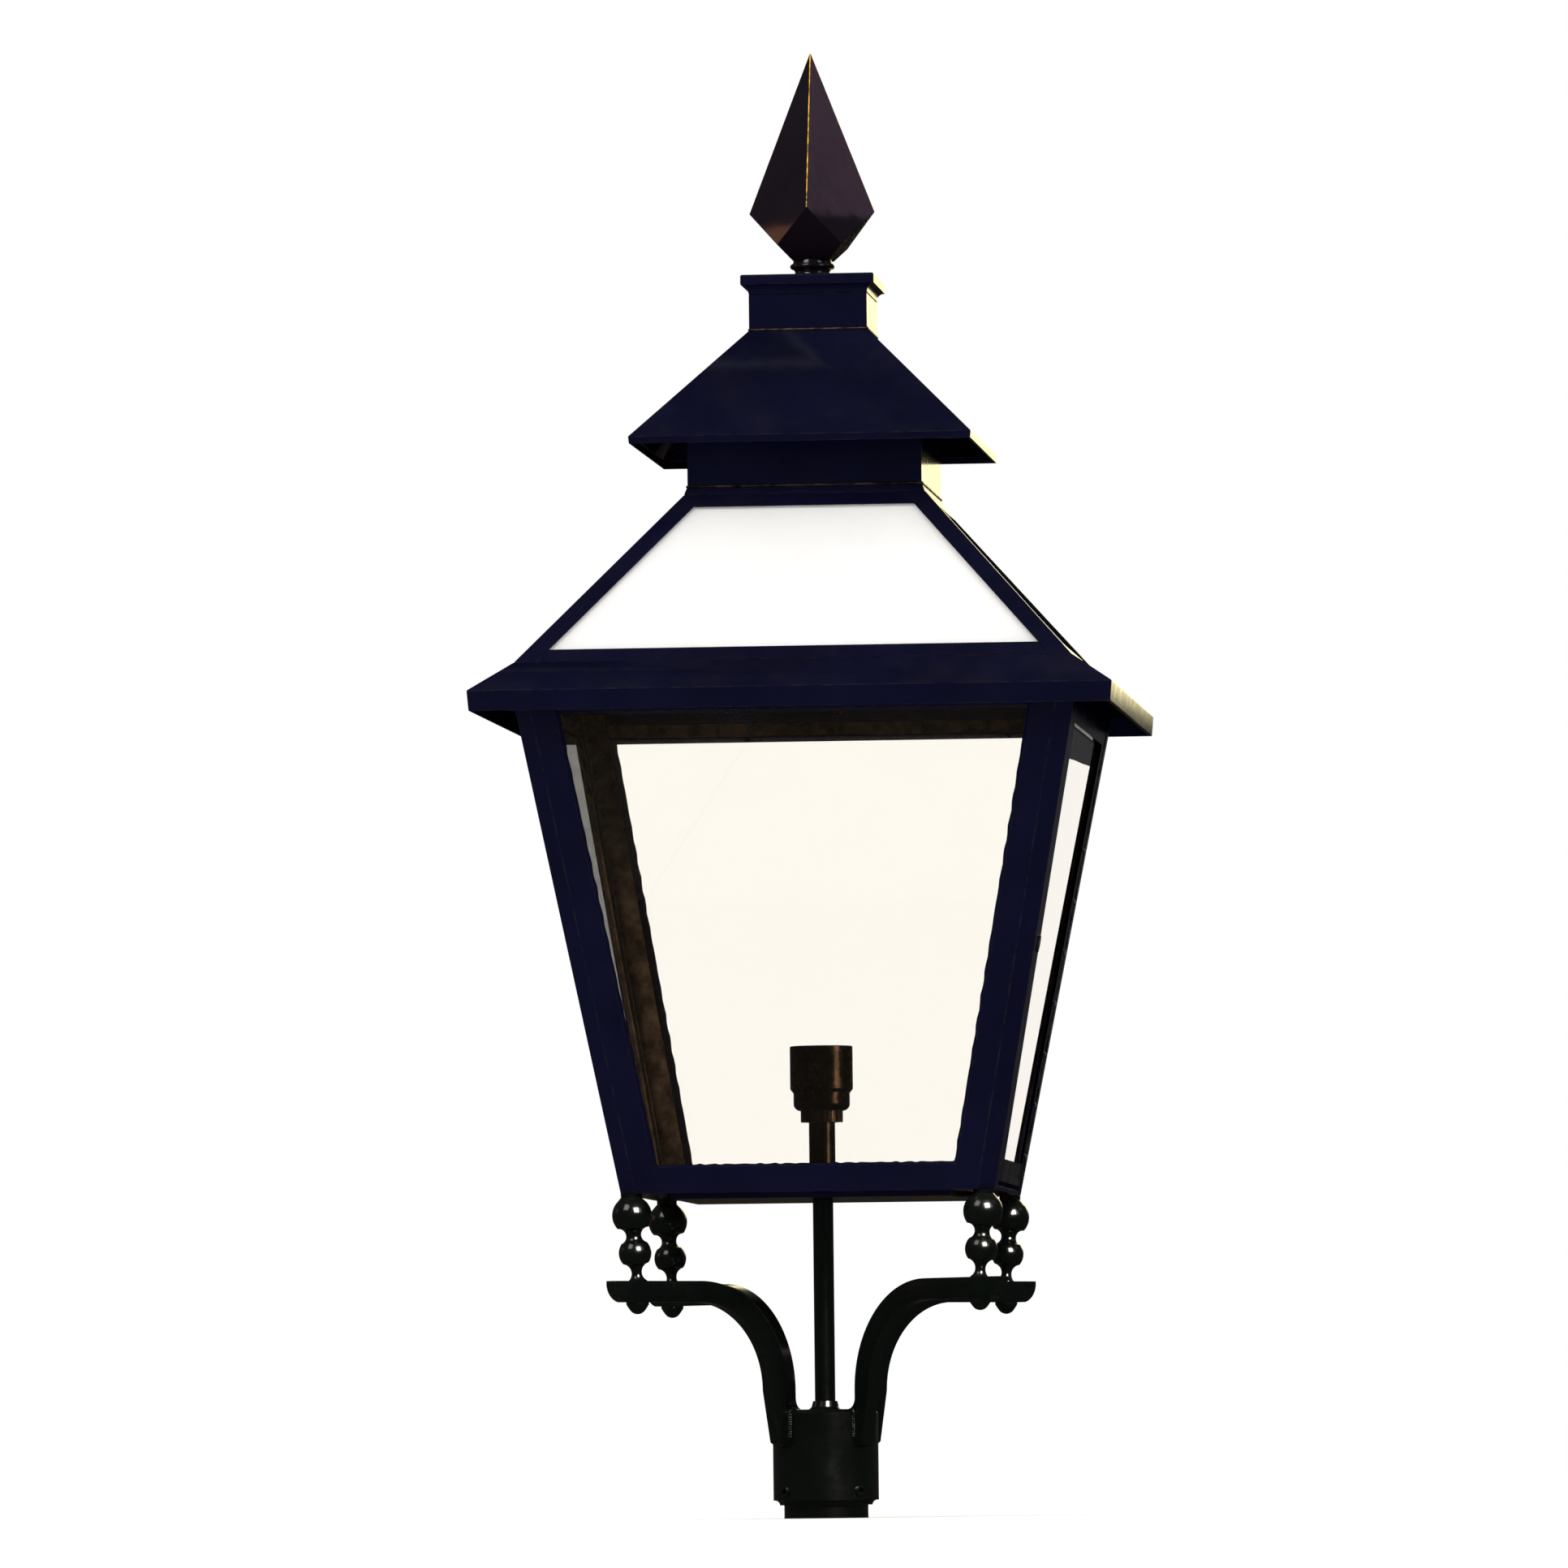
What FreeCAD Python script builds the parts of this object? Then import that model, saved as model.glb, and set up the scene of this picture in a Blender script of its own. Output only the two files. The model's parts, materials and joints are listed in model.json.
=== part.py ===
"""Square post-top street lantern on a four-armed frog, made as separate pieces.

Millimetres. +Z is up, the front faces -Y, and the origin is the centre of the sleeve's lower mouth.
Wall pieces are built on the +X side or in the +X +Y corner, then turned about Z to the other sides.
Depths are measured horizontally inwards from a wall's outer face, and ends from the wall's corner.
"""
import FreeCAD, Part
import math
import os

V = FreeCAD.Vector
UP = V(0, 0, 1)
SIDES = {"right": 0, "back": 90, "left": 180, "front": 270}
CORNERS = {"back_right": 0, "back_left": 90, "front_left": 180, "front_right": 270}

# ---- clearances ----
FIT = 0.05            # radial, between a shaft and its hole
GAP = 0.3             # between bodies that move past each other

# ---- post socket and sleeve ----
POST_DIAMETER = 50.8
POST_FIT = 0.25       # radial, post top in the sleeve
SLEEVE_WALL = 4.2
SLEEVE_LENGTH = 54.0
SLEEVE_STANDS_OUT = 9.3
SOCKET_WALL = 7.5
SOCKET_HEIGHT = 67.7
SOCKET_CROWN = 15.0   # thickness over the bore
SET_SCREW_RADIUS = 4.0
SET_SCREW_Z = 19.0

# ---- frog arms ----
ARM_WIDTH = 10.0
ARM_DEPTH = 15.0
ARM_TOP_Z = 168.0
ARM_BEND_RADIUS = 70.0
ARM_FOOT_Z = 50.0
ARM_OVERHANG = 24.0   # beyond the spindle's stud

# ---- corner spindles ----
SPINDLE_INSET = 7.2   # head's centre inside the lantern's base corner, each way
SPINDLE_SPLAY = 4.0   # foot inside the head, each way
SPINDLE_HEIGHT = 61.0
LOWER_BALL = 11.5
UPPER_BALL = 14.0
STUD_RADIUS = 3.5
STUD_GRIP = 5.0       # stud below the arm
NUT_RADIUS = 8.0
NUT_DEPTH = 6.0       # down to the crown's edge

# ---- supply tube ----
TUBE_RADIUS = 7.25
TUBE_WALL = 2.0
TUBE_RISE = 15.0      # above the body's base
LOCKNUT_HEIGHT = 5.0
LOCKNUT_FLATS = 22.0

# ---- lantern body ----
BODY_BASE_HALF = 131.7
BODY_HEIGHT = 359.0
BODY_LEAN = 0.1894    # outwards for each unit of height
POST_FACE = 29.1
POST_CHAMFER = 11.5
SHEET = 3.0
BASE_RAIL_HEIGHT = 18.0
TOP_RAIL_HEIGHT = 17.0
RAIL_LEG = 19.0
GLASS = 4.0
GLASS_PLAY = 0.3      # pane edge to the post's folded face
BLOCK_HEIGHT = 11.0
BEAD = 3.0
BEAD_HEIGHT = 9.0
INNER_ANGLE_LEG = 19.0
INNER_ANGLE_THICK = 2.0
PAN_MARGIN = 32.7     # pan inside the body's base
PAN_DEPTH = 6.5
PAN_SHEET = 2.5
PAN_FLANGE = 15.0
PAN_VENT = 5.0
PAN_SCREW = 2.0
SEAT_SCREW = 2.5

# ---- door on the right side ----
HINGE_RADIUS = 4.0
HINGE_PIN = 1.6
HINGE_PITCH = 7.6
HINGE_LEAF = 1.5
HINGE_LEAF_PLAY = 0.95  # door's leaf to the door's rib
POST_LEAF_WIDTH = 13.0
HINGE_KNUCKLED = 258.0
STILE = 25.6
DOOR_RAIL_LOW = 15.5
DOOR_RAIL_HIGH = 12.0
DOOR_RIB = 1.5
DOOR_LAP = 8.0        # door frame over the edge of its pane
STOP_ON_POST = 7.0
STOP_PAST_POST = 5.0
LATCH_RADIUS = 4.5
LATCH_INSET = 10.5    # latch centre from the stile's free edge
LATCH_HUB = 3.8
LATCH_HEIGHT = 165.0  # above the door's lower edge
LATCH_HEAD = 6.0
TONGUE_REACH = 12.5
TONGUE_THICK = 2.0
TONGUE_WIDTH = 7.0

# ---- roof ----
ROOF_SETBACK = 4.5    # roof break inside the body's top corner
ROOF_RISE = 123.4
ROOF_RUN = 109.8
ROOF_BREAK_RISE = 11.2
HIP_FACE = 15.5
ROOF_SHEET = 4.0
ROOF_RAIL_LOW = 9.3
ROOF_RAIL_HIGH = 9.1
ROOF_GLASS = 5.4
EAVE_REACH = 29.8
EAVE_DROP = 20.7
FASCIA = 14.4
FASCIA_TUCK = 1.2
EAVE_SHEET = 4.2
CURB_HEIGHT = 5.4
SEAT_BAR = 8.0

# ---- chimney, hood and finial ----
LOWER_CHIMNEY_HALF = 83.0
LOWER_CHIMNEY_HEIGHT = 47.0
UPPER_CHIMNEY_HALF = 42.0
UPPER_CHIMNEY_HEIGHT = 26.0
HOOD_HALF = 121.0
HOOD_RISE = 80.0
HOOD_LIP = 5.0
HOOD_CLEAR = 34.0     # hood's lower corner above the curb
CHIMNEY_SHEET = 2.0
CAP_HALF = 47.5
CAP_PLATE = 7.3
CAP_COVE = 6.2
NECK_HEIGHT = 13.5
NECK_RADIUS = 15.5
FINIAL_HALF = 45.0
FINIAL_FOOT_HALF = 23.0
FINIAL_NECK_HALF = 14.0
FINIAL_GIRDLE_RISE = 34.0
FINIAL_HEIGHT = 149.6
FINIAL_STUD = 4.0

# ---- lamp fitting ----
STEM_RADIUS = 9.3
STEM_TOP_Z = 281.0
COLLAR_RADIUS = 15.0
COLLAR_HEIGHT = 8.0
HOLDER_BODY_RADIUS = 20.0
HOLDER_BODY_HEIGHT = 13.0
SHROUD_RADIUS = 22.3
SHROUD_HEIGHT = 33.0
SHROUD_WALL = 2.0
SHROUD_FLOOR = 3.0
INSERT_BORE = 11.25
INSERT_DEPTH = 18.0
CONTACT_WELL = 8.0    # radius, below the bore
CONTACT_WELL_DEPTH = 4.0
CONTACT_PITCH = 9.0
CONTACT_RADIUS = 1.5

# ---- levels worked out from the sizes above ----
SLEEVE_INNER = POST_DIAMETER / 2 + POST_FIT
SLEEVE_OUTER = SLEEVE_INNER + SLEEVE_WALL
SOCKET_OUTER = SLEEVE_OUTER + FIT + SOCKET_WALL
SOCKET_TOP = SLEEVE_STANDS_OUT + SOCKET_HEIGHT
SOCKET_ROOF = SOCKET_TOP - SOCKET_CROWN
BASE_Z = ARM_TOP_Z + SPINDLE_HEIGHT
TOP_Z = BASE_Z + BODY_HEIGHT
BLOCK_TOP = BASE_Z + BLOCK_HEIGHT
SPINDLE_HEAD = BODY_BASE_HALF - SPINDLE_INSET
SPINDLE_FOOT = SPINDLE_HEAD - SPINDLE_SPLAY
PAN_HALF = BODY_BASE_HALF - PAN_MARGIN
PAN_Z = BASE_Z + SHEET - PAN_DEPTH
TUBE_TOP = BASE_Z + TUBE_RISE
TUBE_BOTTOM = SOCKET_ROOF - LOCKNUT_HEIGHT - 0.5
BREAK_Z = TOP_Z + ROOF_BREAK_RISE
CURB_Z = BREAK_Z + ROOF_RISE
NECK_Z = CURB_Z + CURB_HEIGHT
HOOD_Z = NECK_Z + HOOD_CLEAR
HOOD_TOP = HOOD_Z + HOOD_RISE
CAP_Z = HOOD_TOP + UPPER_CHIMNEY_HEIGHT
CAP_TOP = CAP_Z + CAP_COVE + CAP_PLATE
FINIAL_Z = CAP_TOP + NECK_HEIGHT
DOOR_Z = BASE_Z + 6.5
DOOR_TOP = TOP_Z - 22.3
LATCH_Z = DOOR_Z + LATCH_HEIGHT
FOLD = POST_CHAMFER + 0.4 * SHEET               # post's inner fold from the corner
GLASS_END = FOLD + GLASS_PLAY
HINGE_SKEW = math.sqrt((1 + 2 * BODY_LEAN ** 2) / (1 + BODY_LEAN ** 2))
HINGE_REACH = (HINGE_RADIUS + GAP) * HINGE_SKEW  # level distance that clears a knuckle
HINGE_END = POST_FACE + HINGE_REACH             # hinge axis from the corner
BACK_STILE_END = HINGE_END + HINGE_REACH
FRONT_STILE_END = POST_FACE + GAP
STILE_LAST = FRONT_STILE_END + STILE
DOOR_GLASS_END = STILE_LAST - DOOR_LAP
BEHIND_GLASS = SHEET + GLASS
DOOR_BEAD_END = DOOR_GLASS_END + 0.2
DOOR_RIB_END = DOOR_GLASS_END - 0.2 - DOOR_RIB
HINGE_SINK = SHEET                              # knuckle centre behind the outer face
HINGE_LEAF_WIDTH = DOOR_RIB_END - BACK_STILE_END - HINGE_LEAF_PLAY
PANE_TOP = TOP_Z - 14.5
BEAD_TOP = TOP_Z - 12.0


def straight(half_1, z_1, half_2, z_2):
    """Half width of a straight wall as a function of height."""
    return lambda z: half_1 + (half_2 - half_1) * (z - z_1) / (z_2 - z_1)


BODY = straight(BODY_BASE_HALF, BASE_Z, BODY_BASE_HALF + BODY_LEAN * BODY_HEIGHT, TOP_Z)
BREAK_HALF = BODY(TOP_Z) - ROOF_SETBACK
CURB_HALF = BREAK_HALF - ROOF_RUN
ROOF = straight(BREAK_HALF, BREAK_Z, CURB_HALF, CURB_Z)
EAVE_HALF = BREAK_HALF + EAVE_REACH
EAVE_Z = BREAK_Z - EAVE_DROP
EAVE = straight(EAVE_HALF, EAVE_Z, BREAK_HALF, BREAK_Z)
HOOD = straight(HOOD_HALF, HOOD_Z, UPPER_CHIMNEY_HALF, HOOD_TOP)


# ---- shapes ----
def prism(lower, upper):
    """Closed solid between two level polygons with matching corners."""
    count = len(lower)
    rings = [lower, upper]
    for i in range(count):
        j = (i + 1) % count
        rings.append([lower[i], lower[j], upper[j], upper[i]])
    shell = Part.makeShell([Part.Face(Part.makePolygon(ring + ring[:1])) for ring in rings])
    shell.sewShape()
    return Part.makeSolid(shell)


def slab(face, z_low, z_high, depths, ends):
    """Flat bar or plate on the +X side, whose ends follow the corners."""
    rings = []
    for z in (z_low, z_high):
        half = face(z)
        outer = half - depths[0]
        inner = half - depths[1]
        front = ends[0] - half
        back = half - ends[1]
        rings.append([V(inner, front, z), V(outer, front, z), V(outer, back, z), V(inner, back, z)])
    return prism(*rings)


def mitred(face, z_low, z_high, depths):
    """Plate on the +X side whose ends meet its neighbours in a mitre."""
    rings = []
    for z in (z_low, z_high):
        outer = face(z) - depths[0]
        inner = face(z) - depths[1]
        rings.append([V(inner, -inner, z), V(outer, -outer, z), V(outer, outer, z), V(inner, inner, z)])
    return prism(*rings)


def corner_bar(face, z_low, z_high, outline):
    """Bar that leans with the corner; outline gives distances inwards from it."""
    ring = [V(face(z_low) - u, face(z_low) - v, z_low) for u, v in outline]
    step = face(z_high) - face(z_low)
    return Part.Face(Part.makePolygon(ring + ring[:1])).extrude(V(step, step, z_high - z_low))


def joined(first, *others):
    """One solid from overlapping or touching solids."""
    return first.fuse(list(others)).removeSplitter()


def turned(profile):
    """Solid of revolution about Z from (radius, z) points; three-point arcs are (mid, end) pairs."""
    edges = outline_edges(profile, lambda p: V(p[0], 0, p[1]))
    return Part.Face(Part.Wire(edges)).revolve(V(0, 0, 0), UP, 360)


def dome(radius, rise, z):
    """Arc of a sphere from a rim to the axis, as the last step of a turned outline."""
    sphere = (radius ** 2 + rise ** 2) / (2 * rise)
    half_way = math.asin(radius / sphere) / 2
    return ((sphere * math.sin(half_way), z + rise - sphere + sphere * math.cos(half_way)), (0, z + rise))


def outline_edges(profile, place):
    """Closed outline: a pair is the next corner, and a pair of pairs is an arc's middle and end."""
    start = place(profile[0])
    here = start
    edges = []
    for step in profile[1:] + profile[:1]:
        if isinstance(step[0], tuple):
            end = place(step[1])
            edges.append(Part.Arc(here, place(step[0]), end).toShape())
        else:
            end = place(step)
            if end.distanceToPoint(here) > 1e-7:
                edges.append(Part.makeLine(here, end))
        here = end
    return edges


def square_moulding(profile):
    """Four-sided moulding whose every side follows the (half width, z) outline from axis to axis."""
    reach = 4 * max(p[0] if not isinstance(p[0], tuple) else p[1][0] for p in profile)
    right = Part.Face(Part.Wire(outline_edges(profile, lambda p: V(p[0], -reach, p[1]))))
    wedge = prism([V(0, 0, 0), V(reach, -reach, 0), V(reach, reach, 0)],
                  [V(0, 0, 2 * TOP_Z), V(reach, -reach, 2 * TOP_Z), V(reach, reach, 2 * TOP_Z)])
    side = right.extrude(V(0, 2 * reach, 0)).common(wedge)
    return joined(side, *[about_z(side, angle) for angle in (90, 180, 270)])


def tube(outer, inner, z_low, z_high):
    """Round tube, or a rod where inner is nothing."""
    rod = Part.makeCylinder(outer, z_high - z_low, V(0, 0, z_low))
    return rod.cut(hole(inner, z_low, z_high)) if inner else rod


def hole(radius, z_low, z_high, x=0, y=0):
    """Cutting tool that runs past both ends."""
    return Part.makeCylinder(radius, z_high - z_low + 2, V(x, y, z_low - 1))


def hexagon(flats, z_low, z_high):
    """Hexagonal bar on the Z axis."""
    reach = flats / math.sqrt(3)
    ring = [V(reach * math.cos(i * math.pi / 3), reach * math.sin(i * math.pi / 3), z_low) for i in range(6)]
    return Part.Face(Part.makePolygon(ring + ring[:1])).extrude(V(0, 0, z_high - z_low))


def about_z(shape, angle):
    """Copy turned about the lantern's axis."""
    copy = shape.copy()
    copy.rotate(V(0, 0, 0), UP, angle)
    return copy


def four_times(shape, offset=0):
    """The piece on every side or in every corner."""
    return [about_z(shape, offset + angle) for angle in (0, 90, 180, 270)]


def save(name, solids):
    """Write one node, made of one solid or several."""
    solids = solids if isinstance(solids, list) else [solids]
    parts = [solid for shape in solids for solid in shape.Solids]
    for solid in parts:
        if not solid.isValid() or solid.Volume <= 0:
            raise ValueError(name + " has a solid that is not sound")
    shape = parts[0] if len(parts) == 1 else Part.makeCompound(parts)
    shape.exportStep("parts/" + name + ".step")


# ---- frog ----
def post_socket():
    """Turned socket with a dished crown and a boss round the tube."""
    boss = TUBE_RADIUS + 1.4
    body = turned([
        (0, SLEEVE_STANDS_OUT), (SOCKET_OUTER - 4.5, SLEEVE_STANDS_OUT),
        ((SOCKET_OUTER - 3.4, SLEEVE_STANDS_OUT + 2.4), (SOCKET_OUTER, SLEEVE_STANDS_OUT + 3.4)),
        (SOCKET_OUTER, SOCKET_TOP - 2.5), (SOCKET_OUTER - 2.5, SOCKET_TOP), (SOCKET_OUTER - 8, SOCKET_TOP),
        ((boss + 8, SOCKET_TOP - 2.5), (boss + 1, SOCKET_TOP + 2)), (boss, SOCKET_TOP + 6),
        (0, SOCKET_TOP + 6)])
    body = body.cut([hole(SLEEVE_OUTER + FIT, 0, SOCKET_ROOF - 1), hole(TUBE_RADIUS + FIT, 0, SOCKET_TOP + 9)])
    return body.cut([set_screw_hole(angle) for angle in (45, 135, 225, 315)])


def set_screw_hole(angle):
    """Radial hole through the socket and the sleeve."""
    way = V(math.cos(math.radians(angle)), math.sin(math.radians(angle)), 0)
    return Part.makeCylinder(SET_SCREW_RADIUS + FIT, SOCKET_OUTER + 5, V(0, 0, SET_SCREW_Z), way)


def spigot_sleeve():
    """Liner that takes the post top, drilled for the set screws."""
    ring = tube(SLEEVE_OUTER, SLEEVE_INNER, 0, SLEEVE_LENGTH)
    return ring.cut([set_screw_hole(angle) for angle in (45, 135, 225, 315)])


def socket_set_screws():
    """Grub screws, stopped just short of the bore, with a hexagon recess."""
    length = SOCKET_OUTER + 1.5 - SLEEVE_INNER - 0.2
    screw = tube(SET_SCREW_RADIUS, 0, 0, length)
    screw = screw.makeChamfer(0.5, [edge for edge in screw.Edges if len(edge.Vertexes) == 1])
    screw = screw.cut(hexagon(3.6, length - 3, length + 1))
    screw.rotate(V(0, 0, 0), V(0, 1, 0), 90)
    screw.translate(V(SLEEVE_INNER + 0.2, 0, SET_SCREW_Z))
    return four_times(screw, 45)


def frog_arm():
    """Flat bar bent through a quarter circle, in the plane of +X before it is turned to a corner."""
    stud = SPINDLE_FOOT * math.sqrt(2)
    half = ARM_DEPTH / 2
    inner = SOCKET_OUTER + 1
    centre_r = inner + half + ARM_BEND_RADIUS
    centre_z = ARM_TOP_Z - half - ARM_BEND_RADIUS
    large = ARM_BEND_RADIUS + half
    small = ARM_BEND_RADIUS - half
    slant = math.sqrt(0.5)
    outer = stud + ARM_OVERHANG
    profile = [
        (outer, ARM_TOP_Z), (centre_r, ARM_TOP_Z),
        ((centre_r - large * slant, centre_z + large * slant), (inner, centre_z)),
        (inner, SOCKET_TOP), (SOCKET_OUTER - 2, SOCKET_TOP), (SOCKET_OUTER - 2, ARM_FOOT_Z),
        (SOCKET_OUTER + 5, ARM_FOOT_Z + 1), (SOCKET_OUTER + 9.5, ARM_FOOT_Z + 4),
        (inner + ARM_DEPTH - 2.5, SOCKET_TOP), (centre_r - small, centre_z),
        ((centre_r - small * slant, centre_z + small * slant), (centre_r, ARM_TOP_Z - ARM_DEPTH)),
        (outer - 10, ARM_TOP_Z - ARM_DEPTH),
        ((outer - 3, ARM_TOP_Z - ARM_DEPTH * 0.7), (outer, ARM_TOP_Z))]
    flat = Part.Face(Part.Wire(outline_edges(profile, lambda p: V(p[0], -ARM_WIDTH / 2, p[1]))))
    bar = flat.extrude(V(0, ARM_WIDTH, 0))
    bar = bar.cut(hole(SOCKET_OUTER, 0, SOCKET_TOP - 1))
    return bar.cut(hole(STUD_RADIUS + FIT, ARM_TOP_Z - ARM_DEPTH, ARM_TOP_Z, stud))


def corner_spindle():
    """Two-ball spindle that leans outwards, with upright studs, in the plane of +X."""
    foot = SPINDLE_FOOT * math.sqrt(2)
    head = SPINDLE_HEAD * math.sqrt(2)
    lean = math.degrees(math.atan2(head - foot, SPINDLE_HEIGHT))
    low = 0.32 * SPINDLE_HEIGHT
    high = 0.755 * SPINDLE_HEIGHT
    lean_on = 0.62        # rise of the straight flank over the ball's radius
    wide = math.sqrt(1 - lean_on ** 2)
    body = turned([
        (0, -4), (7.5, -4), (6.8, 0), ((3.6, 5.6), (LOWER_BALL * wide, low - LOWER_BALL * lean_on)),
        ((LOWER_BALL, low), (LOWER_BALL * wide, low + LOWER_BALL * lean_on)),
        ((5.3, (low + high) / 2 - 0.6), (UPPER_BALL * wide, high - UPPER_BALL * lean_on)),
        ((UPPER_BALL, high), (UPPER_BALL * wide, high + UPPER_BALL * lean_on)),
        (6.8, SPINDLE_HEIGHT - 2), (6.8, SPINDLE_HEIGHT + 4), (0, SPINDLE_HEIGHT + 4)])
    body.rotate(V(0, 0, 0), V(0, 1, 0), lean)
    body.translate(V(foot, 0, ARM_TOP_Z))
    trim = Part.makeBox(60, 60, SPINDLE_HEIGHT, V(foot - 30, -30, ARM_TOP_Z))
    lower = Part.makeCylinder(STUD_RADIUS, ARM_DEPTH + STUD_GRIP + 2,
                              V(foot, 0, ARM_TOP_Z - ARM_DEPTH - STUD_GRIP))
    upper = Part.makeCylinder(STUD_RADIUS, BLOCK_HEIGHT + 2, V(head_stud(), 0, BASE_Z - 3))
    return joined(body.common(trim), lower, upper)


def head_stud():
    """Upper stud's distance from the axis, clear of the post's folded face."""
    chamfer_face = (2 * BODY_BASE_HALF - POST_CHAMFER) / math.sqrt(2)
    return chamfer_face - SHEET - STUD_RADIUS - 2


def spindle_nut():
    """Domed nut under the arm."""
    top = ARM_TOP_Z - ARM_DEPTH
    crown = top - NUT_DEPTH
    flare = STUD_RADIUS + 1.5
    nut = turned([(0, top), (NUT_RADIUS, top), (NUT_RADIUS, top - 1.5),
                  ((NUT_RADIUS - 1.4, top - 3.8), (flare, crown)), dome(flare, -2.4, crown)])
    nut = nut.cut(hole(STUD_RADIUS + FIT, top - STUD_GRIP + 0.8, top))
    nut.translate(V(SPINDLE_FOOT * math.sqrt(2), 0, 0))
    return nut


# ---- supply tube ----
def supply_tube():
    """Conduit from under the socket's crown to above the floor pan."""
    return tube(TUBE_RADIUS, TUBE_RADIUS - TUBE_WALL, TUBE_BOTTOM, TUBE_TOP)


def tube_locknuts():
    """Locknuts under the crown and on the floor pan."""
    low = SOCKET_ROOF - LOCKNUT_HEIGHT
    high = PAN_Z + PAN_SHEET
    return [hexagon(LOCKNUT_FLATS, z, z + LOCKNUT_HEIGHT).cut(hole(TUBE_RADIUS + FIT, z, z + LOCKNUT_HEIGHT))
            for z in (low, high)]


# ---- body ----
def base_rail(height, end):
    """Angle that carries the pane and the floor pan, or a flat bar where it is no higher than the sheet."""
    upright = slab(BODY, BASE_Z, BASE_Z + height, (0, SHEET), (end, end))
    ledge = slab(BODY, BASE_Z, BASE_Z + SHEET, (SHEET, SHEET + RAIL_LEG), (end, end))
    return joined(upright, ledge)


def corner_block():
    """Block in the foot of a post, drilled for the spindle's stud."""
    block = corner_bar(BODY, BASE_Z, BLOCK_TOP, [
        (SHEET, POST_FACE), (SHEET, FOLD), (FOLD, SHEET), (POST_FACE, SHEET), (POST_FACE, POST_FACE)])
    stud = head_stud() / math.sqrt(2)
    return block.cut(hole(STUD_RADIUS + FIT, BASE_Z, BLOCK_TOP, stud, stud))


def corner_post():
    """Folded post with a chamfered corner."""
    return corner_bar(BODY, BASE_Z, TOP_Z, [
        (0, POST_FACE), (0, POST_CHAMFER), (POST_CHAMFER, 0), (POST_FACE, 0), (POST_FACE, SHEET),
        (FOLD, SHEET), (SHEET, FOLD), (SHEET, POST_FACE)])


def floor_pan():
    """Shallow pan that hangs between the base rails, holed for the tube and for air."""
    flange_z = BASE_Z + SHEET
    bottom = flange_z - PAN_DEPTH
    pan = prism_box(PAN_HALF, bottom, flange_z + PAN_SHEET)
    flange = prism_box(PAN_HALF + PAN_FLANGE, flange_z, flange_z + PAN_SHEET)
    well = prism_box(PAN_HALF - PAN_SHEET, bottom + PAN_SHEET, flange_z + PAN_SHEET + 1)
    block_edge = BODY_BASE_HALF - POST_FACE - GLASS_PLAY
    notch = Part.makeBox(100, 100, 20, V(block_edge, block_edge, bottom))
    pan = joined(pan, flange).cut([well] + four_times(notch))
    vents = [hole(PAN_VENT, bottom, bottom + PAN_SHEET, 0.6 * PAN_HALF * math.cos(a), 0.6 * PAN_HALF * math.sin(a))
             for a in [math.radians(45 * i) for i in range(8)]]
    screws = [hole(PAN_SCREW + FIT, bottom, flange_z + PAN_SHEET, x, y) for x, y in pan_screw_places()]
    return pan.cut([hole(TUBE_RADIUS + FIT, bottom, flange_z)] + vents + screws)


def prism_box(half, z_low, z_high):
    """Square block on the axis."""
    return Part.makeBox(2 * half, 2 * half, z_high - z_low, V(-half, -half, z_low))


def pan_screw_places():
    """Screws through the middle of each flange."""
    out = PAN_HALF + PAN_FLANGE - 3
    return [(out, 0), (0, out), (-out, 0), (0, -out)]


def floor_screws():
    """Round-headed screws from the flange into the base rails."""
    top = BASE_Z + SHEET + PAN_SHEET
    screw = joined(Part.makeCylinder(PAN_SCREW, SHEET + PAN_SHEET, V(0, 0, BASE_Z)),
                   turned([(0, top), (3.8, top), dome(3.8, 2.2, top)]))
    return [moved(screw, x, y) for x, y in pan_screw_places()]


def moved(shape, x, y):
    """Copy shifted in plan."""
    copy = shape.copy()
    copy.translate(V(x, y, 0))
    return copy


def top_rail(door_side):
    """Angle round the top of the body; it comes lower over the door."""
    low = DOOR_TOP + 2 * GAP if door_side else TOP_Z - TOP_RAIL_HEIGHT
    upright = slab(BODY, low, TOP_Z, (0, SHEET), (POST_FACE, POST_FACE))
    ledge = slab(BODY, TOP_Z - 4, TOP_Z, (SHEET, SHEET + 13), (POST_FACE, POST_FACE))
    return joined(upright, ledge).cut(roof_screw_hole())


def seat_middle():
    """Middle of the roof's seat bars from the axis."""
    return BREAK_HALF - 5.2


def roof_screw_hole():
    """Hole through the top rail and the seat bar, in the middle of a side."""
    return hole(SEAT_SCREW + FIT, TOP_Z - 5, TOP_Z + 8, seat_middle())


def roof_screw():
    """Screw from under the top rail into the seat bar."""
    shank = Part.makeCylinder(SEAT_SCREW, 11, V(seat_middle(), 0, TOP_Z - 4))
    return joined(shank, Part.makeCylinder(4.5, 3, V(seat_middle(), 0, TOP_Z - 7)))


def pane():
    """Body pane behind the posts."""
    return slab(BODY, BLOCK_TOP, PANE_TOP, (SHEET, BEHIND_GLASS), (GLASS_END, GLASS_END))


def inner_angle():
    """Angle in the corner behind the panes."""
    start = BEHIND_GLASS
    thick = start + INNER_ANGLE_THICK
    end = start + INNER_ANGLE_LEG
    bend = FOLD + SHEET + GLASS_PLAY - start
    inner_bend = bend + 0.4 * INNER_ANGLE_THICK
    return corner_bar(BODY, BLOCK_TOP, TOP_Z - 4, [
        (bend, start), (end, start), (end, thick), (inner_bend, thick), (thick, inner_bend),
        (thick, end), (start, end), (start, bend)])


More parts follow.
